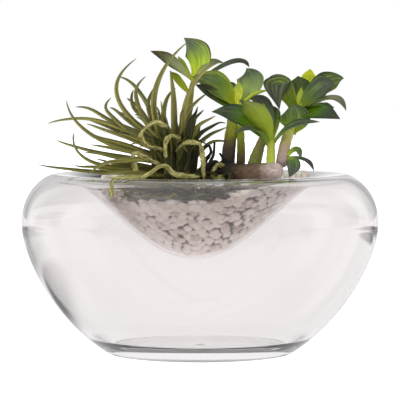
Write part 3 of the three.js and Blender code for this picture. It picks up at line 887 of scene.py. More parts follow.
@dataclass(frozen=True)
class GlassVase:
    """A wide vase whose foot, belly, rim fold and cone-shaped bowl are one wall of glass."""

    foot: float = 76.5
    belly: float = 150.0
    belly_height: float = 110.0
    crest: float = 122.0
    height: float = 151.0
    bowl_top: float = 92.0
    bowl_top_height: float = 143.0
    bowl_floor: float = 80.8
    bowl_shift: float = BOWL_SHIFT
    wall: float = 4.0
    bowl_wall: float = 1.3
    base: float = 6.5
    vent: float = 2.2
    around: int = 176

    def bowl(self, count: int = 40) -> Array:
        """The bowl's upper skin as radius and height, from its lowest point to the rim."""
        corners = [
            (0, self.bowl_floor),
            (30, self.bowl_floor),
            (48, 100),
            (self.bowl_top, self.bowl_top_height),
        ]
        return bezier(corners, np.linspace(0, 1, count))

    def flare(self, count: int = 22) -> Array:
        """The rim's inner slope, from the bowl up to the crest."""
        corners = [
            (self.bowl_top, self.bowl_top_height),
            (99, 150),
            (112, self.height),
            (self.crest, self.height),
        ]
        return bezier(corners, np.linspace(0, 1, count))

    def outside(self) -> Array:
        """The outside as radius and height, from the bowl's lowest point over the rim to the foot."""
        shoulder = bezier(
            [
                (self.crest, self.height),
                (130, self.height),
                (self.belly, 137),
                (self.belly, self.belly_height),
            ],
            np.linspace(0, 1, 30),
        )
        side = bezier(
            [(self.belly, self.belly_height), (self.belly, 84), (125.7, 30.7), (self.foot, 0)],
            np.linspace(0, 1, 44),
        )
        return np.vstack([self.bowl(), self.flare()[1:], shoulder[1:], side[1:]])

    def shift(self, radius: Array, height: Array) -> Array:
        """How far a ring's centre lies from the axis: the bowl's shift, fading out over the rim."""
        fade = 1 - smooth(radius, self.bowl_top, self.crest)
        return np.where(np.asarray(height) > self.height / 2, self.bowl_shift * fade, 0.0)

    def outline(self) -> Array:
        """The closed section: outside, foot, vent, heavy base and the hollow's own skin.

        Formula: the hollow's skin is the outside moved inward by the wall, which thins from the
        wall's own value to the bowl's over the rim; a curve rounds it into the flat base.
        """
        outside = self.outside()
        thin = smooth(np.arange(len(outside)), 60, 36)
        inner = offset(outside, -(self.wall + (self.bowl_wall - self.wall) * thin))
        inner = inner[(inner[:, 1] > self.base + 7) & (inner[:, 0] > 0.1)]
        last = inner[-1]
        corner = bezier([last, (75, 9), (72.5, 7.2), (68, self.base)], np.linspace(0, 1, 12)[1:])
        heel = bezier([outside[-2], (77.4, 0.5), (76.6, 0), (73, 0)], np.linspace(0, 1, 8)[1:])
        vent = [
            (self.vent + 0.7, 0),
            (self.vent, 0.7),
            (self.vent, self.base - 0.7),
            (self.vent + 0.7, self.base),
        ]
        slab = (67, 60, 30, 12, 6)
        under = np.array([*((r, 0) for r in slab), *vent, *((r, self.base) for r in reversed(slab))])
        return np.vstack([outside[1:-1], heel, under, corner[::-1], inner[::-1]])

    def build(self, finish: Finish) -> None:
        """Turns the section round the axis, in rings that carry the bowl's shift."""
        outline = self.outline()
        angle = circle(self.around)
        radius, height = outline[:, :1], outline[:, 1:]
        x = self.shift(radius, height) + radius * np.cos(angle)
        rings = np.stack([x, radius * np.sin(angle), np.broadcast_to(height, x.shape)], -1)
        top = np.array([[self.bowl_shift, 0, self.bowl_floor]])
        bottom = np.array([[self.bowl_shift, 0, self.bowl_floor - self.bowl_wall]])
        under = np.where(height < 0.01, np.clip((67 - radius) / 7, 0, 1), 0.0)
        shell = Shell.tubes(rings[None], top, bottom, ground=under[None])
        shell.piece("blown_vase", finish.material(), Slot.GLASS, ["glass_vase"])


# ------------------------------------------------------------------ the pebbles


def cube_ball(cuts: int) -> tuple[Array, Array]:
    """A ball of quads: a cube whose faces are cut into cuts x cuts squares, pushed onto the unit ball.

    Returns:
        Its points, (count, 3), and its quads.
    """
    ticks = np.tan(np.linspace(-1, 1, cuts + 1) * np.pi / 4)
    u, v = np.meshgrid(ticks, ticks, indexing="ij")
    one = np.ones_like(u)
    sides = [(one, u, v), (-one, v, u), (v, one, u), (u, -one, v), (u, v, one), (v, u, -one)]
    grid = np.stack([np.stack(side, -1) for side in sides])
    flat, number = np.unique(grid.reshape(-1, 3).round(6), axis=0, return_inverse=True)
    number = number.reshape(6, cuts + 1, cuts + 1)
    near, far = number[:, :-1], number[:, 1:]
    quads = np.stack([near[..., :-1], far[..., :-1], far[..., 1:], near[..., 1:]], -1)
    return unit(flat), quads.reshape(-1, 4)


@dataclass(frozen=True)
class PebbleBed:
    """Loose marble pebbles that fill the bowl up to a heap that climbs towards the back right.

    The stones lie on a spiral that shares out the bed's whole surface, up the glass and in over
    the heap; a second, deeper layer closes the gaps.
    """

    vase: GlassVase
    front: float = 131.0
    rise: float = 16.0
    climb_from: float = -70.0
    climb_to: float = -15.0
    lean: float = 0.9
    clear: float = 0.5
    count: int = 680
    turn: float = 137.50776
    across: float = 5.0
    thick: float = 3.6
    stray: float = 0.7
    nested: float = 1.2
    deeper: int = 860
    deeper_phase: float = 0.98
    core_inset: float = 6.5
    cuts: int = 3
    flats: int = 11
    edge: int = 12
    spin: float = 0.5
    tilt: float = 0.22
    crown: tuple[float, float] = CROWN
    crown_room: float = 15.0
    seed: int = 11

    def height(self, x: Array, y: Array) -> Array:
        """The heap's surface: the front height plus the rise, eased along lean * x + y."""
        return self.front + self.rise * smooth(self.lean * x + y, self.climb_from, self.climb_to)

    def skin(self) -> Array:
        """The bed's side along the glass as radius and height, from its lowest point outward."""
        glass = np.vstack([self.vase.bowl(), self.vase.flare()[1:]])
        return offset(glass, self.clear)[1:]

    def spots(self, inset: float, phase: float, count: int) -> tuple[Array, Array, Array]:
        """Where the stones of one layer lie.

        Formula: turned round the axis, the section through the bed sweeps an area; the stones
        share it evenly from the lowest point on, and each turns by the golden angle.

        Args:
            inset: how deep the layer lies, in mm.
            phase: how far along the spiral the first stone lies, in stones.
            count: how many stones the layer has.
        Returns:
            The places, the ways out of the bed, both (count, 3), and how much wider than tall
            the room of each stone is.
        """
        skin = self.skin()
        radius_at = lambda z: np.interp(z, skin[:, 1], skin[:, 0])
        top, low = self.front + self.rise / 2, skin[0, 1]
        side = skin[skin[:, 1] < top]
        section = np.vstack([side, [radius_at(top), top], [0, top]])
        sums = section[1:] + section[:-1]
        bands = sums[:, 0] * np.linalg.norm(np.diff(section, axis=0), axis=1)
        edges = np.concatenate([[0], np.cumsum(bands)])
        turns = np.arange(count) + phase
        area = edges[-1] * turns / count
        band = np.searchsorted(edges, area) - 1
        share = (area - edges[band]) / bands[band]
        squares = section[:, 0] ** 2
        radius = np.sqrt(squares[band] + share * (squares[band + 1] - squares[band]))
        on_heap = band == len(bands) - 1
        middle = np.where(on_heap, top, np.interp(radius, side[:, 0], side[:, 1]))
        angle = np.radians(self.turn * (turns - 0.5))
        cos, sin = np.cos(angle), np.sin(angle)
        height = self.height(self.vase.bowl_top * cos, self.vase.bowl_top * sin)
        z = low + (height - low) * (middle - low) / (top - low)
        r = radius_at(z) * np.where(on_heap, radius / radius_at(top), 1.0)
        slope = radius_at(z + 0.5) - radius_at(z - 0.5)
        x = self.vase.shift(r, z) + r * cos
        flat = np.zeros_like(cos)
        out = unit(np.stack([cos, sin, -slope], -1))
        out = np.where(on_heap[:, None], np.stack([flat, flat, flat + 1], -1), out)
        z = np.where(on_heap, self.height(x, r * sin), z)
        level = turns / count * 2 - 1
        wide = np.clip(radius / np.maximum(68 * np.sqrt(1 - level**2), 1), 0.8, 1.35)
        places = np.stack([x, r * sin, z], -1) - out * inset
        return places, out, wide

    def stones(self, inset: float, phase: float, number: int, seed: int) -> Shell:
        """One layer of blunt stones.

        Formula: in a direction p a stone reaches (sum over its eleven flats of
        max(0, n.p / d)^12 plus 1)^(-1/12), a polyhedron with softened edges. It is stretched along
        three axes and turned, its short axis near the way out. Points that would pass the bed's
        surface slide back along that way.

        Args:
            inset: how deep the stones' middles lie, in mm.
            phase: how far along the spiral the layer starts, in stones.
            number: how many stones the layer has.
            seed: the seed of chance.
        Returns:
            The stones as one shell, each with its own tone.
        """
        rng = np.random.default_rng(seed)
        places, out, wide = self.spots(inset, phase, number)
        apart = np.hypot(places[:, 0] - self.crown[0], places[:, 1] - self.crown[1])
        keep = (out[:, 2] < 0.99) | (apart > self.crown_room)
        places, out, wide = places[keep], out[keep], wide[keep]
        count = len(places)
        around = unit(np.cross(out, (0.0, 0.0, 1.0)) + 1e-6 * rng.normal(size=(count, 3)))
        upward = np.cross(around, out)
        places = places + self.stray * (
            around * rng.normal(size=(count, 1)) + upward * rng.normal(size=(count, 1))
        )
        ball, quads = cube_ball(self.cuts)
        flats = unit(rng.normal(size=(count, self.flats, 3)))
        depth = rng.uniform(0.72, 0.95, (count, self.flats, 1))
        facing = np.maximum(np.einsum("nfi,vi->nfv", flats, ball) / depth, 0.0)
        reach = ((facing**self.edge).sum(1) + 1.0) ** (-1 / self.edge)
        size = rng.uniform(0.86, 1.16, (count, 1))
        thick = np.full(count, self.thick)
        axes = np.stack([self.across * wide, self.across / wide, thick], -1) * size
        spin = rng.normal(0, self.spin, count)[:, None]
        long = around * np.cos(spin) + upward * np.sin(spin)
        short = unit(out + self.tilt * rng.normal(size=(count, 3)))
        long = unit(long - short * np.sum(long * short, axis=1, keepdims=True))
        turned_axes = np.stack([long, np.cross(short, long), short], 1)
        shape = ball[None] * reach[..., None] * axes[:, None, :]
        local = np.einsum("nvk,nki->nvi", shape, turned_axes)
        beyond = np.maximum(np.einsum("nvi,ni->nv", local, out) - (inset - 0.1), 0.0)
        local = local - beyond[..., None] * out[:, None, :]
        points = self.inside(self.inside(places[:, None, :] + local))
        # how deep each point lies in the bed; the finish darkens deep points with it as painted shade
        sink = np.clip(self.depth(points) / 4.0, 0, 1)
        tone = np.repeat(0.14 + 0.86 * rng.random(count) ** 0.8, len(ball))
        step = (np.arange(count) * len(ball))[:, None, None]
        return Shell(
            points.reshape(-1, 3),
            (quads[None] + step).reshape(-1, 4),
            values={"tone": tone, "sink": sink.ravel()},
        )

    def glass_at(self, points: Array) -> tuple[Array, Array, Array]:
        """Points' distances from the bowl's axis, and the height and climb of the bed's side there."""
        skin = self.skin()
        radius = np.hypot(points[..., 0] - self.vase.bowl_shift, points[..., 1])
        height = np.interp(radius, skin[:, 0], skin[:, 1])
        return radius, height, np.interp(radius, skin[:, 0], np.gradient(skin[:, 1], skin[:, 0]))

    def depth(self, points: Array) -> Array:
        """How deep points lie in the bed: the lesser of the ways to the glass and to the heap."""
        _, height, slope = self.glass_at(points)
        to_glass = (points[..., 2] - height) / np.hypot(1, slope)
        return np.minimum(to_glass, self.height(points[..., 0], points[..., 1]) - points[..., 2])

    def inside(self, points: Array) -> Array:
        """Moves points that would pass the glass back inside it, square to its skin.

        Formula: a point that lies d below the skin's height at its radius, where the skin climbs
        by s, moves by d / (1 + s^2) up and by s times that inward.
        """
        radius, height, slope = self.glass_at(points)
        below = np.maximum(height - points[..., 2], 0) / (1 + slope**2)
        inward = -slope * below / np.maximum(radius, 1e-6)
        x = points[..., 0] - self.vase.bowl_shift
        shift = np.stack([x * inward, points[..., 1] * inward, below], -1)
        return points + shift

    def core(self, inset: float) -> Shell:
        """A closed body inside the stones that shuts off the view through the gaps, coloured the dark
        grey-brown of the gaps as painted shade.

        Formula: rings at shares of the height between the skin's lowest point and the heap, at
        the skin's radius less the inset, then rings that close over the heap less the inset.
        """
        angle = circle(48)
        cos, sin = np.cos(angle), np.sin(angle)
        moved = offset(self.skin(), inset)
        top = self.height(self.vase.bowl_top * cos, self.vase.bowl_top * sin) - inset
        low = moved[:, 1].min() + 1
        rings = []
        for share in (0.02, 0.1, 0.25, 0.45, 0.7, 1.0):
            z = low + (top - low) * share
            r = np.interp(z, moved[:, 1], moved[:, 0])
            rings.append(np.stack([self.vase.bowl_shift + r * cos, r * sin, z], -1))
        edge = rings[-1]
        for share in (0.85, 0.6, 0.3):
            x = self.vase.bowl_shift + (edge[:, 0] - self.vase.bowl_shift) * share
            y = edge[:, 1] * share
            rings.append(np.stack([x, y, self.height(x, y) - inset], -1))
        middle = self.vase.bowl_shift
        line = ((middle, 0, low - 1), (middle, 0, self.height(middle, 0.0) - inset))
        # tone 0 and full depth give the core the dark grey-brown of the gaps: painted shade
        return Shell.tubes(np.stack(rings)[None], *poles(line), tone=np.zeros(1), sink=np.ones(1))

    def build(self, finish: Finish) -> None:
        """The outer layer, a deeper one that shows in its gaps, and a core painted dark as shade."""
        outer = self.stones(self.thick, 0.5, self.count, self.seed)
        inset = self.thick + self.nested
        deeper = self.stones(inset, self.deeper_phase, self.deeper, self.seed + 1)
        shells = [self.core(self.core_inset), outer, deeper]
        Shell.joined(shells).piece("marble_pebbles", finish.material(), Slot.PEBBLES, ["pebble_bed"])


# ------------------------------------------------------------------ trunk and stems


@dataclass(frozen=True)
class Stem:
    """A round stalk along an arch, with the scars of old leaves and rounded ends."""

    name: str
    start: Triple
    middle: Triple
    end: Triple
    radii: tuple[float, float]
    skin: Stalk
    scars: int = 5
    scar_depth: float = 0.05
    lumps: float = 0.05
    slot: Slot = Slot.STEM

    def shell(self, around: int = 22, stations: int = 56) -> Shell:
        """Carries a circle along the arch.

        Formula: the radius runs straight from one end's to the other's, times a quarter circle
        over the first and last 8 percent, times 1 plus low sines round and along the stalk and
        a narrow ridge at each scar.
        """
        u = ends(stations, 0.003, 0.997)
        angle = circle(around)[None, :]
        near = np.clip(np.minimum(u, 1 - u) / 0.08, 0, 1)
        rounded = np.sqrt(1 - (1 - near) ** 2)
        along = u[:, None]
        ridge = np.cos(np.pi * self.scars * along + 0.35 * np.sin(angle + 2)) ** 12
        turning = np.sin(3 * angle + 9 * along) + np.sin(2 * angle - 14 * along + 1.3)
        wave = turning + np.sin(25 * along)
        straight = self.radii[0] + (self.radii[1] - self.radii[0]) * along
        radius = straight * rounded[:, None] * (1 + self.scar_depth * ridge + self.lumps * wave / 3)
        track = arch(self.start, self.middle, self.end, u)
        rings = carry(track, (0.3, -0.2, 1.0), radius * np.cos(angle), radius * np.sin(angle))
        round_count = np.abs(angle / np.pi - 1) * 4
        line = (self.start, self.end)
        return Shell.tubes(rings[None], *poles(line), along=along[None], around=round_count[None])

    def build(self, node: str, extra: tuple[Shell, ...] = ()) -> None:
        """Makes the stalk and what grows on it one piece for its node."""
        shell = Shell.joined([self.shell(), *extra])
        shell.piece(self.name, self.skin.material(), self.slot, [node])


def stem(
    name: str, start: Triple, middle: Triple, end: Triple, radii: tuple[float, float], **skin: object
) -> Stem:
    """A green stem whose skin has the values given by name."""
    return Stem(f"{name}_stem", start, middle, end, radii, Stalk(f"stem_skin_{name}", **skin))


@dataclass(frozen=True)
class StemWork:
    """The branching plant's old trunk, which lies in the bowl, and the six stems on it."""

    trunk: Stem = Stem(
        "old_trunk",
        (8, -30, 153.6),
        (37, -63, 154),
        (65, -92, 157.4),
        (8.2, 6.8),
        BARK,
        scars=9,
        scar_depth=0.06,
        lumps=0.09,
        slot=Slot.BARK,
    )
    stems: tuple[Stem, ...] = (
        stem(
            "tall", (-9, 22, 132), (-10, 25, 188), (-6, 25, 229), (3.4, 2.2),
            stops=((0.0, "#524d22"), (0.5, "#807a30"), (0.95, "#858c1f")), streaks=0.25,
        ),
        stem(
            "middle", (23, -40, 156), (25, -22, 180), (30, -5, 208), (6, 4.2),
            stops=((0.0, "#241d16"), (0.3, "#4d3e33"), (0.45, "#625b25"), (0.55, "#848613"),
                (0.95, "#829216")), streaks=0.4,
        ),
        stem(
            "side", (33, -50, 157), (34, -31, 172), (33, -14, 192), (3.8, 3),
            stops=((0.0, "#362719"), (0.3, "#624e1f"), (0.5, "#72730a"), (0.95, "#829216")),
            streaks=0.3,
        ),
        stem(
            "short", (44, -62, 158), (47, -56, 170), (53, -52, 184), (6, 3.2),
            stops=((0.0, "#5e7208"), (0.5, "#737a1c"), (0.95, "#828240")),
            streak="#907483", streaks=0.6,
        ),
        stem(
            "front", (57, -84, 160), (57.5, -72, 170), (58, -60, 181), (3.8, 3),
            stops=((0.0, "#a5b436"), (0.6, "#a3a83f"), (0.95, "#93a136")),
            streak="#74841a", streaks=0.25,
        ),
        stem(
            "right", (66, -78, 160), (71, -55, 182), (81, -25, 204), (5, 3.6),
            stops=((0.0, "#96827f"), (0.3, "#a69275"), (0.45, "#b0ad56"), (0.95, "#869520")),
            streak="#886e71", streaks=0.4,
        ),
    )

    def rootlets(self) -> tuple[Shell, ...]:
        """Thin dark roots that curl up beside the trunk's buried end."""
        lines = (
            (
                (4, -38, 140), (6, -45, 148), (2, -47, 156), (4, -48, 164),
                (9, -47, 170), (7, -46, 176), (3, -46, 173),
            ),
            ((14, -44, 146), (12, -48, 155), (8, -48, 161), (11, -47, 168), (12, -46, 179)),
            ((10, -36, 143), (16, -44, 150), (13, -50, 157), (7, -49, 153), (5, -47, 146)),
            ((20, -40, 146), (17, -50, 150), (21, -53, 157), (26, -50, 162)),
            (
                (6, -42, 142), (3, -50, 152), (7, -52, 160),
                (13, -51, 163), (17, -49, 158), (14, -47, 151),
            ),
            (
                (12, -40, 142), (9, -50, 149), (14, -54, 155),
                (20, -52, 153), (24, -50, 158), (21, -49, 165),
            ),
            (
                (3, -40, 140), (1, -50, 150), (5, -51, 157),
                (10, -50, 158), (12, -49, 152), (8, -48, 148),
            ),
            (
                (18, -38, 142), (14, -48, 148), (10, -52, 154),
                (14, -51, 160), (19, -49, 164), (16, -48, 170),
            ),
            ((8, -40, 142), (11, -49, 150), (7, -50, 158), (5, -48, 163), (8, -47, 167)),
        )
        shells = []
        for line in lines:
            u = ends(30, 0.003, 0.997)
            angle = circle(8)[None, :]
            radius = 2.1 * (1 - 0.55 * u[:, None]) * np.ones_like(angle)
            section = radius * np.cos(angle), radius * np.sin(angle)
            rings = carry(through(line, u), (0.2, -1, 0.1), *section)
            values = {"along": np.zeros(1), "around": np.zeros(1)}
            shells.append(Shell.tubes(rings[None], *poles(line), **values))
        return tuple(shells)

    def build(self) -> None:
        """Builds the trunk with its rootlets, then each stem."""
        self.trunk.build("trunk", self.rootlets())
        for one in self.stems:
            one.build("stem_" + one.name.removesuffix("_stem"))


# ------------------------------------------------------------------ broad leaves


@dataclass(frozen=True)
class BroadLeaf:
    """One fleshy leaf: its midrib's middle and tip from the rosette's hub, its width and its face."""

    name: str
    middle: Triple
    tip: Triple
    width: float
    face: Triple
    look: LeafLook
    base: Triple = (0.0, 0.0, 0.0)

    def outline(self, u: Array) -> Array:
        """Half the width as a share: a narrow neck, fullest past the middle, a hollow-sided tip."""
        t = np.clip((u - 0.6) / 0.4, 0, 1)
        rise = np.sin(np.pi / 2 * np.minimum(1, u / 0.6)) ** 0.8
        oval = rise * (1 - t**1.6) * (1 - 0.3 * t**2)
        return (oval**4 + (0.36 * (1 - u)) ** 4) ** 0.25 * np.sqrt(np.clip((1 - u) / 0.012, 0, 1))

    def shell(self, hub: Triple, tone: float, around: int = 26, stations: int = 44) -> Shell:
        """Carries a cupped and keeled section along the midrib.

        Formula: at a from -1 to 1 across, the blade is lifted by 0.3 a^2 of its half width; its
        skin stands off by the half thickness times the sine of the turn, less a share of
        (1 - |a|)^2 that keels the back, less a narrow groove over the midrib; the margins wave.

        Args:
            hub: the rosette's centre.
            tone: a value of the leaf's own, from 0 to 1.
            around, stations: the grid's size.
        Returns:
            The leaf.
        """
        u = ends(stations, 0.002, 0.9985)
        turn = circle(around)[None, :]
        a, up = np.cos(turn), np.sin(turn)
        flesh, cup, keel, groove, groove_width, ripple, waves = 1.2, 0.3, 0.3, 0.45, 0.16, 0.05, 1.7
        half = (self.width / 2 * self.outline(u))[:, None]
        thick = (flesh * (1 - 0.6 * u))[:, None] * np.minimum(1, half / 1.6 + 0.15)
        sunk = groove * np.exp(-((a / groove_width) ** 2)) * (up > 0)
        skin = thick * (0.95 * up - keel * (1 - np.abs(a)) ** 2 - sunk)
        phase = 2 * np.pi * (waves * u[:, None] + tone) + 1.5 * np.sign(a)
        lift = cup * half * a**2 + skin + ripple * half * np.sin(phase) * a**2
        hub = np.asarray(hub, float)
        start, middle, tip = (hub + np.asarray(p, float) for p in (self.base, self.middle, self.tip))
        rings = carry(arch(start, middle, tip, u), self.face, half * a, lift)
        return Shell.tubes(
            rings[None],
            start[None],
            tip[None],
            along=u[None, :, None],
            across=a[None],
            upper=up[None],
            tone=np.full(1, tone),
        )


@dataclass(frozen=True)
class Rosette:
    """Leaves that grow from one hub at the end of a stem."""

    name: str
    hub: Triple
    leaves: tuple[BroadLeaf, ...]

    def build(self) -> None:
        """Makes each leaf a piece of its own."""
        for number, leaf in enumerate(self.leaves):
            tone = (0.37 * number + 0.11 * len(self.name)) % 1.0
            shell = leaf.shell(self.hub, tone)
            name, look = f"{self.name}_{leaf.name}", leaf.look
            shell.piece(f"{name}_leaf", look.value.material(), look.slot, [f"leaf_{name}"])


def rosette(name: str, hub: Triple, *leaves: tuple) -> Rosette:
    """A rosette from one row of a leaf's values for each leaf, in the order of BroadLeaf's fields."""
    return Rosette(name, hub, tuple(BroadLeaf(*values) for values in leaves))


@dataclass(frozen=True)
class BranchingPlant:
    """The five rosettes of the branching plant."""

    rosettes: tuple[Rosette, ...] = (
        rosette("top", (-6, 25, 229),
            ("upright", (5, 9, 20), (-8, 13, 36.5), 22, (0, -1, 0.2), LeafLook.SUNLIT),
            ("left", (-18, -11, 15), (-36, -17, 25), 13, (0.3, -0.8, 0.6), LeafLook.ASHEN),
            ("lower", (-12, -7, -1), (-19, -11, 8), 9, (0.5, -0.8, 0.5), LeafLook.LIME,
                (-2, -1, -12)),
            ("small", (-8, 11, 13), (-13, 19, 21), 5, (0.4, -0.8, 0.4), LeafLook.LIME, (0, 1, 0)),
            ("right", (14, 3, 13), (26, 5, 15), 12, (-0.2, -0.5, 1), LeafLook.DUSTY, (1, 0, 0)),
            ("arched", (33, -3, 15), (47.5, -11, 11), 11, (0, -0.3, 1), LeafLook.NIGHT,
                (2, -1, -2)),
        ),
        rosette("middle", (30, -5, 208),
            ("striped", (-15, -10, 15.5), (-37, -13, 24.5), 25, (0.4, -0.8, 0.5), LeafLook.STRIPED),
            ("dark", (-18, -17, 8), (-34, -25, 18), 16, (0.4, -0.7, 0.6), LeafLook.TEAL,
                (-1, -1, -3)),
            ("heart", (2, 0, 11), (2.5, 3, 20), 9, (0, -1, 0), LeafLook.PALE_LIME, (1, -1, 1)),
            ("broad", (12.5, 11, 17.5), (9, 19, 31.5), 23, (-0.2, -1, 0.2), LeafLook.BLUSHED,
                (2, 0, 0)),
            ("side", (15, -7, 9), (27, -11, 13), 8, (-0.3, -0.3, 1), LeafLook.PALE_LIME,
                (2, -1, 0)),
            ("back", (-6, 23, 13), (-16, 41, 20), 16, (0, -0.5, 1), LeafLook.MEADOW, (0, 2, 0)),
        ),
        rosette("front", (58, -60, 181),
            ("front", (-12, -16, 18), (-23, -24, 32), 24, (0.3, 0.7, 0.6), LeafLook.OLIVE,
                (0, -1, -2)),
            ("rising", (-12, 0, 19), (-27, 4, 33), 18, (0.6, -0.5, 0.6), LeafLook.MEADOW,
                (-1, 0, 0)),
            ("long", (-23, -10, 16.5), (-49, -14, 23), 22, (0.1, -0.7, 0.7), LeafLook.EMERALD,
                (-1, 0, -3)),
            ("droop", (-14, -18, 8.5), (-31, -28, 5), 11, (0, -0.4, 1), LeafLook.SLATE,
                (-2, -1, -6)),
            ("top", (-5, 16, 26), (-17, 26, 33), 14, (0.2, -0.9, 0.3), LeafLook.NIGHT, (0, 1, 0)),
            ("heart", (-5, 0, 19), (-6, 0, 30), 7, (0, -1, 0.2), LeafLook.PALE_LIME, (0, 0, 3)),
            ("right", (3.5, 11, 16), (2, 20, 27.5), 12, (-0.4, -0.8, 0.2), LeafLook.MEADOW,
                (1, 1, 0)),
            ("sweep", (16, -10, 10.5), (39, -20, 15), 14, (-0.2, -0.4, 1), LeafLook.SLATE,
                (2, -1, -3)),
        ),
        rosette("right", (81, -25, 204),
            ("droop", (-16, -14, 22), (-16, -30, 1), 23, (-0.3, -0.8, 0.6), LeafLook.PLUM,
                (-2, 0, 0)),
            ("edge", (-10, 17, 24), (-23, 27, 28), 10, (0.3, -0.5, 0.8), LeafLook.DUSTY,
                (-1, 1, 0)),
            ("back", (2, 19, 17), (1, 27, 29), 19, (0, -1, 0.4), LeafLook.MOSS, (0, 2, 0)),
            ("lime", (9, 27, 21), (12, 41, 35), 13, (0, -1, 0.4), LeafLook.GOLDEN, (1, 2, -2)),
            ("heart", (2, -1, 10), (3, -1, 20), 7, (0, -1, 0.2), LeafLook.PALE_LIME, (1, -1, 2)),
            ("inner", (-6, 1, 13), (-8, 3, 23), 7, (0.4, -0.9, 0.2), LeafLook.PALE_LIME,
                (-1, 0, 1)),
            ("blue", (17, -7, 17), (31, -13, 21), 21, (-0.3, -0.9, 0.5), LeafLook.SLATE,
                (2, -1, 0)),
            ("far", (22, 15, 20.5), (39.5, 19, 27), 21, (-0.2, -0.8, 0.5), LeafLook.STRIPED,
                (2, 1, 0)),
            ("curl", (26, -17, 10.5), (39, -23, 0), 12, (0, -0.3, 1), LeafLook.DUSTY, (2, -1, -1)),
            ("brown", (14, -20, 3.5), (29, -33, 3), 15, (0, -0.2, 1), LeafLook.MOSS, (1, -2, -1)),
            ("low", (14, -31, -1), (33, -47, -6), 19, (-0.1, -0.9, 0.7), LeafLook.EMERALD,
                (0, -2, -5)),
            ("cheek", (-4, -23, -5), (-6, -28, 7), 27, (0, -0.9, 0.5), LeafLook.MEADOW,
                (-6, -16, -17)),
        ),
        rosette("low", (71, -75, 166),
            ("down", (4, -9, -4), (0.5, -14, -15), 12, (0.2, -1, 0.3), LeafLook.SLATE),
            ("arched", (14, -5, -1), (21, -8, -10), 7, (0.2, -0.3, 1), LeafLook.NIGHT, (1, 0, 1)),
            ("small", (7, 3, 7), (11, 2, 0), 8, (0, -0.5, 1), LeafLook.MEADOW, (0, 1, 2)),
        ),
    )

    def build(self) -> None:
        """Builds the rosettes in order."""
        for rosette in self.rosettes:
            rosette.build()


# ------------------------------------------------------------------ the slender plant


@dataclass(frozen=True)
class Crown:
    """The short dense stock that the blades grow from."""

    at: tuple[float, float] = CROWN
    foot: float = 133.0
    top: float = 182.0
    radius: float = 17.0

    def root(self, height: Array, towards: Array) -> Array:
        """Points inside the crown at given heights, on the side of given points.

        Formula: the distance from the axis is 0.8 of the radius at the foot and shrinks to 0.3
        of it at the top.
        """
        height = np.asarray(height, float)
        out = unit(np.asarray(towards, float)[:, :2] - np.array(self.at))
        level = (height - self.foot) / (self.top - self.foot)
        return self.round(out, self.radius * (0.8 - 0.5 * level), height)

    def round(self, out: Array, radius: Array, height: Array) -> Array:
        """Points round the crown's axis: the ways out from it, (count, 2), their radii and heights."""
        return np.column_stack([np.array(self.at) + out * radius[:, None], height])


@dataclass(frozen=True)
class Blades:
    """Many slender blades at once: roots, middles and tips, (count, 3), widths and tones, (count,)."""

    roots: Array
    middles: Array
    tips: Array
    widths: Array
    tones: Array

    def shell(self, seed: int, wobble: float = 2.0, around: int = 10, stations: int = 22) -> Shell:
        """Carries a grooved lens along each blade's arch.

        Formula: the half width is the blade's own times min(1, 1.25 (1 - u)^0.55), with a blunt
        point; the half thickness is 0.62 of it, less a groove; the path sways by a sine whose
        size is nothing at both ends.
        """
        rng = np.random.default_rng(seed)
        count = len(self.roots)
        u = ends(stations, 0.004, 0.997)
        track = arch(self.roots, self.middles, self.tips, u)
        phase = rng.uniform(0, 2 * np.pi, (count, 1, 1))
        size = wobble * rng.uniform(0.3, 1.0, (count, 1, 1))
        waves = 1.4
        sway = size * np.sin(2 * np.pi * waves * u[None, :, None] + phase)
        sway = sway * np.sin(np.pi * u[None, :, None]) * unit(rng.normal(size=(count, 1, 3)))
        track = Track(track.points + sway, track.tangents)
        turn = circle(around)
        a, up = np.cos(turn), np.sin(turn)
        profile = np.minimum(1, 1.25 * (1 - u) ** 0.55) * np.sqrt(np.clip((1 - u) / 0.02, 0, 1))
        half = (self.widths[:, None] / 2 * profile[None, :])[..., None]
        thickness, groove, groove_width = 0.62, 0.3, 0.4
        sunk = groove * np.exp(-((a / groove_width) ** 2)) * (up > 0)
        rings = carry(track, (0.2, -0.6, 0.77), half * a, half * thickness * (up - sunk))
        return Shell.tubes(
            rings,
            self.roots,
            self.tips,
            along=u[None, :, None],
            around=(np.abs(turn / np.pi - 1) * 3)[None, None, :],
            tone=self.tones[:, None, None],
        )


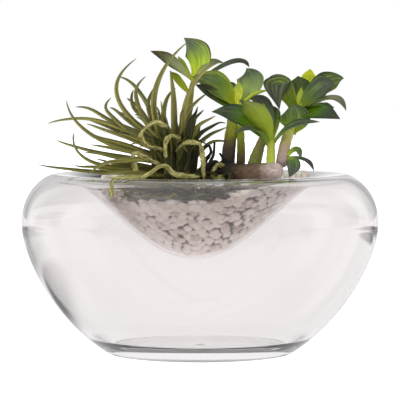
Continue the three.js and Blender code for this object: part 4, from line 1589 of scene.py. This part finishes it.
@dataclass(frozen=True)
class SlenderPlant:
    """A tuft of slender blades on its crown, and the long blades that stand clear of it.

    A blade's row gives the height of its root in the crown, its middle, its tip, its width and
    its tone. The undergrowth crowds round the crown and round the buried end of the trunk.
    """

    crown: Crown = Crown()
    filler_width: float = 4.4
    tuft_plumpness: float = 1.16
    long_plumpness: float = 1.12
    trunk_foot: tuple[float, float] = (8.0, -38.0)
    bowl_reach: float = 84.0
    long_blades: tuple[tuple[str, float, Triple, Triple, float, float], ...] = (
        ("rim_left", 155, (-90, -46, 155), (-133, -60, 161), 4.2, 0.45),
        ("far_left", 172, (-85, -5, 195), (-128, -2, 193), 4.2, 0.6),
        ("high_left", 166, (-87, -35, 183), (-110, -40, 213), 4.2, 0.5),
        ("sweep_left", 161, (-86, -48, 171), (-118, -58, 181), 4.2, 0.5),
        ("hook_left", 157, (-87, -65, 163), (-102, -78, 187), 4.2, 0.42),
        ("tall_left", 175, (-69, 5, 214), (-53, 12, 248), 4.2, 0.6),
        ("spear", 172, (-50, 8, 218), (-70, 22, 232), 4.2, 0.4),
        ("tall", 170, (-37, -34, 220), (-10, -40, 261), 5.0, 0.58),
        ("reach", 168, (-8, -32, 221), (19, -30, 245), 4.2, 0.7),
    )
    tuft_blades: tuple[tuple[float, Triple, Triple, float, float], ...] = (
        (172, (-77, 0, 198), (-105, 8, 207), 4.2, 0.62),
        (158, (-75, -62, 157), (-102, -72, 161), 4.2, 0.4),
        (172, (-72, -10, 196), (-74, -6, 215), 4.2, 0.5),
        (176, (-53, 2, 209), (-45, 6, 233), 4.2, 0.4),
        (178, (-53, 8, 203), (-56, 16, 221), 4.2, 0.35),
        (176, (-42, -22, 203), (-37, -18, 225), 4.2, 0.45),
        (178, (-22, -14, 213), (-25, -10, 238), 5, 0.6),
        (176, (-30, -8, 205), (-20, -4, 223), 4.2, 0.65),
        (174, (-11, -18, 201), (7, -14, 219), 4.2, 0.55),
        (172, (-2, -28, 190), (13, -34, 200), 4.2, 0.6),
        (168, (4, -22, 181), (23, -28, 191), 4.2, 0.55),
        (156, (-60, -76, 166), (-89, -100, 155), 5, 0.5),
        (150, (-56, -88, 155), (-80, -100, 154), 5, 0.55),
        (170, (-74, 6, 189), (-99, 14, 198), 4.2, 0.5),
        (168, (-68, -10, 184), (-95, -8, 193), 4.2, 0.62),
        (166, (-70, -30, 178), (-96, -34, 188), 4.2, 0.5),
        (164, (-64, -42, 172), (-90, -56, 177), 4.2, 0.45),
        (160, (-67, -52, 167), (-94, -70, 171), 4.2, 0.55),
        (156, (-60, -60, 161), (-84, -84, 166), 4.2, 0.4),
        (172, (-50, 14, 203), (-62, 26, 214), 4.2, 0.4),
        (168, (-61, 20, 196), (-77, 34, 206), 4.2, 0.45),
        (166, (-51, 34, 191), (-70, 56, 202), 4.2, 0.4),
        (176, (-29, -40, 198), (-32, -52, 213), 4.2, 0.5),
        (172, (-16, -44, 193), (-13, -58, 207), 4.2, 0.55),
        (172, (-41, -44, 190), (-52, -62, 200), 4.2, 0.5),
        (168, (-49, -56, 181), (-66, -80, 186), 4.2, 0.6),
    )

    def tuft(self) -> Blades:
        """The tuft's main blades as arrays."""
        columns = (np.array(column, float) for column in zip(*self.tuft_blades))
        heights, middles, tips, widths, tones = columns
        varied = tones + 0.42 * (scattered(np.arange(len(tones))) - 0.5)
        roots = self.crown.root(heights, middles)
        return Blades(roots, middles, tips, widths * self.tuft_plumpness, varied)

    def fillers(self, count: int = 24) -> Blades:
        """Shorter blades all round: each turns by the golden angle and leans further out."""
        i = np.arange(count)
        turn = np.radians(GOLDEN_TURN * i)
        lean = 0.25 + 0.9 * i / count
        out = np.stack([np.cos(turn), np.sin(turn)], -1)
        root = self.crown.top - 6 - 22 * lean
        reach = 46 * (0.8 + 0.2 * np.sin(3 * i))

        middles = self.crown.round(out, 9 + 0.5 * reach * lean, root + 0.62 * reach)
        tips = self.crown.round(out, 10 + reach * lean, root + reach * (1.15 - 0.55 * lean))
        tones = 0.05 + 0.6 * scattered(i)
        widths = np.full(count, self.filler_width)
        return Blades(self.crown.root(root, middles), middles, tips, widths, tones)

    def stock(self, count: int = 34) -> Blades:
        """Thick blade bases that stand round the crown like a bundle of leeks, painted near-black
        green as shade by their low tone.

        Formula: roots on a sunflower spiral of the crown's radius at its foot, middles and tips
        further out along the same turn and higher up.
        """
        i = np.arange(count)
        turn = np.radians(GOLDEN_TURN * i)
        share = np.sqrt((i + 0.5) / count)
        out = np.stack([np.cos(turn), np.sin(turn)], -1)
        grow = 30 + 10 * np.sin(5 * i)

        roots = self.crown.round(out, 17 * share, np.full(count, 131.0))
        middles = self.crown.round(out, 19 * share, 148 + 0.5 * grow)
        tips = self.crown.round(out, 20 * share + 6, 160 + grow)
        # low tones: the finish paints these bases with shade
        tones = 0.02 + 0.3 * scattered(i)
        return Blades(roots, middles, tips, 6.5 + 2.0 * np.cos(7 * i), tones)

    def undergrowth(self, count: int = 150, seed: int = 5) -> Blades:
        """Short blades that crowd the bowl below the rim, round the crown and the trunk, most of them
        painted near-black green as shade by their low tone.
        """
        rng = np.random.default_rng(seed)
        turn = rng.uniform(0, 2 * np.pi, count)
        out = np.stack([np.cos(turn), np.sin(turn)], -1)
        centre = np.where(rng.random((count, 1)) < 0.65, self.crown.at, self.trunk_foot)
        length = rng.uniform(24, 62, count)

        def at(share: float, height: Array) -> Array:
            """Points at a share of each blade's length, kept inside the bowl."""
            xy = centre + out * (length * share)[:, None]
            far = np.hypot(xy[:, 0] - BOWL_SHIFT, xy[:, 1])
            xy = xy * np.minimum(1, self.bowl_reach / np.maximum(far, 1))[:, None]
            return np.column_stack([xy, height])

        roots = at(0.15, np.full(count, 133.0))
        middles = at(0.6, rng.uniform(141, 152, count))
        tips = at(1.0, rng.uniform(140, 158, count))
        # mostly low tones, which the finish paints with shade
        return Blades(roots, middles, tips, rng.uniform(4.5, 7.5, count), 0.7 * rng.random(count) ** 2)

    def skirt(self, count: int = 80, seed: int = 8) -> Blades:
        """Blades that lie along the glass in front, over the pebbles' edge, most of them painted
        near-black green as shade by their low tone.

        Formula: each runs round the bowl by 6 to 16 degrees from its own azimuth, at the height's
        radius inside the glass.
        """
        rng = np.random.default_rng(seed)
        turn = np.radians(rng.uniform(-137, -66, count))
        run = np.radians(rng.uniform(6, 16, count)) * rng.choice([-1, 1], count)

        def at(share: float, height: Array) -> Array:
            """Points at a share of each blade's run round the bowl."""
            angle, radius = turn + share * run, 71.0 + 1.1 * (height - 131)
            x, y = radius * np.cos(angle) + BOWL_SHIFT, radius * np.sin(angle)
            return np.column_stack([x, y, height])

        low = rng.uniform(129, 138, count)
        middles = at(0.5, low + rng.uniform(-1.5, 4, count))
        tips = at(1.0, low + rng.uniform(-2, 3, count))
        widths = rng.uniform(4.0, 6.5, count)
        # mostly low tones, which the finish paints with shade
        return Blades(at(0.0, low), middles, tips, widths, 0.9 * rng.random(count) ** 3)

    def build(self, finish: Finish) -> None:
        """Makes the tuft one piece and each long blade a piece of its own."""
        material = finish.material()
        groups = (self.tuft(), self.fillers(), self.stock(), self.undergrowth(), self.skirt())
        shells = [blades.shell(seed) for seed, blades in enumerate(groups)]
        Shell.joined(shells).piece("blade_tuft", material, Slot.BLADE, ["grass_tuft"])
        for number, (name, height, middle, tip, width, tone) in enumerate(self.long_blades):
            root = self.crown.root([height], [middle])
            ends_at = np.array([middle], float), np.array([tip], float)
            one = Blades(root, *ends_at, np.array([width * self.long_plumpness]), np.array([tone]))
            shell = one.shell(40 + number, wobble=0.8, stations=36)
            shell.piece(f"{name}_blade", material, Slot.BLADE, [f"blade_{name}"])


@dataclass(frozen=True)
class DryCurls:
    """Dry, curled strips in front of the tuft, each along its own line of points."""

    width: float = 4.1
    thickness: float = 1.4
    lines: tuple[tuple[str, tuple[Triple, ...]], ...] = (
        ("loop", ((-26, -52, 191), (-37, -56, 195), (-48, -56, 186), (-45, -54, 177), (-33, -48, 173),
            (-27, -33, 171))),
        ("tall", ((-19, -33, 168), (-16, -50, 175), (-8, -60, 179), (0, -63, 177), (2, -64, 168),
            (3, -66, 149))),
        ("leg", ((-20, -32, 176), (-18, -48, 182), (-24, -55, 184), (-28, -56, 179), (-28, -57, 166))),
        ("spur", ((-51, -68, 152), (-54, -67, 170), (-42, -62, 165), (-33, -56, 160))),
        ("zigzag", ((-70, -127, 137), (-69, -116, 150.5), (-58, -107, 152.2), (-46, -100, 152),
            (-29, -91, 161), (-20, -90, 154), (0, -91, 152))),
        ("hook", ((9, -55, 140), (10, -54, 152), (14, -53, 160), (18, -51, 159), (17, -47, 151))),
    )

    def strip(self, line: tuple[Triple, ...], number: int) -> Shell:
        """Carries a thin lens along a line, its two edges knobbly by a tenth, each in its own way."""
        u = ends(150, 0.002, 0.998)
        turn = circle(10)[None, :]
        near = np.sqrt(np.clip(np.minimum(u, 1 - u) / 0.04, 0, 1))
        size = self.width / 2 * near * (0.92 + 0.2 * np.sin(15 * u + 2 * number))
        length = np.linalg.norm(np.diff(np.array(line, float), axis=0), axis=1).sum()
        knob = 2 * np.pi * length * u[:, None] / 4.3
        bumpy = 0.14 * np.sin(knob + np.pi * (np.cos(turn) > 0) + 2.1 * np.sin(0.37 * knob))
        half = size[:, None] * (1 + bumpy)
        thick = self.thickness / 2 * near[:, None] * np.ones_like(turn)
        crease = 0.5 * self.thickness * (np.abs(np.cos(turn)) - 0.5)
        lift = thick * np.sin(turn) + crease * near[:, None]
        rings = carry(through(line, u), (0.15, 1, 0.1), half * np.cos(turn), lift)
        around = (np.abs(turn / np.pi - 1) * 2)[None]
        return Shell.tubes(rings[None], *poles(line), along=u[None, :, None], around=around)

    def build(self, finish: Finish) -> None:
        """Makes each strip a piece of its own."""
        for number, (name, line) in enumerate(self.lines):
            shell = self.strip(line, number)
            shell.piece(f"{name}_curl", finish.material(), Slot.STRAW, [f"curl_{name}"])


# ------------------------------------------------------------------ studio


@dataclass(frozen=True)
class Studio:
    """A white table, a ring of soft boxes, a lamp overhead and the camera."""

    distance: float = 2.133
    camera_height: float = 0.235
    pitch: float = 2.85
    view_angle: float = 9.0
    table_radius: float = 7.0
    table_gap: float = 0.05
    table_thickness: float = 20.0
    key_place: Triple = (-0.9, -1.1, 1.7)
    key_size: float = 1.4
    key_power: float = 2.5
    aim_height: float = 0.17
    front_light: float = 2.1
    front_mirror: float = 0.25
    top_mirror: float = 0.3

    def table(self, finish: Finish) -> None:
        """A wide disc whose top lies just under z = 0, in rings that spread by square steps."""
        radius = (np.linspace(0.1, 1, 10) ** 2)[:, None] * self.table_radius / MM
        angle = circle(64)
        x, y = radius * np.cos(angle), radius * np.sin(angle)
        upper = np.stack([x, y, np.full_like(x, -self.table_gap)], -1)
        down = np.array([0, 0, self.table_thickness])
        centre = np.array([[0, 0, -self.table_gap]])
        shell = Shell.tubes(np.vstack([upper, upper[::-1] - down])[None], centre, centre - down)
        made = shell.made("table", finish.material(), smooth=False)

    def surroundings(self) -> None:
        """The world: white behind the object, soft boxes and darker gaps round it to be mirrored.

        Formula: brightness near the horizon follows the azimuth's place in its own 45 degrees, a
        box at both ends and a darker gap between, and rises to the overhead box.
        """
        world = bpy.data.worlds.new("studio")
        bpy.context.scene.world = world
        world.use_nodes = True
        world.node_tree.nodes.clear()
        graph = Graph(world.node_tree)
        way = graph.add("SeparateXYZ", {0: graph.add("TexCoord").outputs["Generated"]}).outputs
        turn = graph.math("ARCTAN2", way["X"], way["Y"])
        eighth = graph.math("DIVIDE", turn, math.radians(45))
        box = graph.ramp(
            graph.math("FLOORED_MODULO", eighth, 1.0),
            (0.0, "#ffffff"),
            (0.2, "#ffffff"),
            (0.3, "#c4c4c4"),
            (0.5, "#c4c4c4"),
            (0.6, "#dcdcdc"),
            (0.85, "#dcdcdc"),
            (0.95, "#ffffff"),
        )
        height = graph.fade(way["Z"], -1.0, 1.0)
        stops = (0.0, "#f0f0f0"), (0.5, "#ffffff"), (0.8, "#f0f0f0"), (0.9, "#ffffff")
        rise = graph.ramp(height, *stops)
        lighting, mirrored = (
            graph.fade(way["Y"], -0.1, -0.7, 1.0, power, eased=True)
            for power in (self.front_light, self.front_mirror)
        )
        ceiling = graph.fade(way["Z"], 0.4, 0.75, 1.0, self.top_mirror, eased=True)
        dimmed = graph.math("MULTIPLY", mirrored, ceiling)
        bent = graph.blend(1.0, dimmed, graph.by_mirror())
        sockets = {
            "Color": graph.vector("MULTIPLY", rise, box),
            "Strength": graph.blend(lighting, bent, graph.by_lens()),
        }
        glow = graph.add("Background", sockets).outputs[0]
        white = graph.add("Background", {"Color": linear("#ffffff"), "Strength": 1.0}).outputs[0]
        graph.add("OutputWorld", {"Surface": graph.seen_apart(white, glow)})

    def lamp(self, name: str, place: Triple, size: float, power: float) -> None:
        """A square soft box that looks at the middle of the arrangement."""
        data = bpy.data.lights.new(name, "AREA")
        data.size, data.energy = size, power
        made = bpy.data.objects.new(name, data)
        made.location = place
        aim = Vector((0, 0, self.aim_height)) - Vector(place)
        made.rotation_euler = aim.to_track_quat("-Z", "Y").to_euler()
        bpy.context.scene.collection.objects.link(made)

    def camera(self) -> None:
        """A long lens in front of the object, a little above its middle and tipped down."""
        data = bpy.data.cameras.new("camera")
        data.lens = data.sensor_width / 2 / math.tan(math.radians(self.view_angle / 2))
        data.clip_end = 100.0
        made = bpy.data.objects.new("camera", data)
        made.location = (0.0, -self.distance, self.camera_height)
        made.rotation_euler = (math.radians(90 - self.pitch), 0.0, 0.0)
        bpy.context.scene.collection.objects.link(made)
        bpy.context.scene.camera = made

    def build(self) -> None:
        """Sets the table, the surroundings, the lamps and the camera."""
        self.table(OpalTable("opal_acrylic_table"))
        self.surroundings()
        self.lamp("key_lamp", self.key_place, self.key_size, self.key_power)
        self.camera()
        bpy.context.scene.view_settings.view_transform = "Standard"


def main() -> None:
    """Builds the sub-assemblies in order and dresses the studio."""
    logging.basicConfig(level=logging.INFO, format="%(message)s")
    vase = GlassVase()
    vase.build(GLASS)
    PebbleBed(vase).build(MARBLE)
    StemWork().build()
    BranchingPlant().build()
    SlenderPlant().build(BLADE)
    DryCurls().build(DRIED)
    Studio().build()


if __name__ == "__main__":
    main()
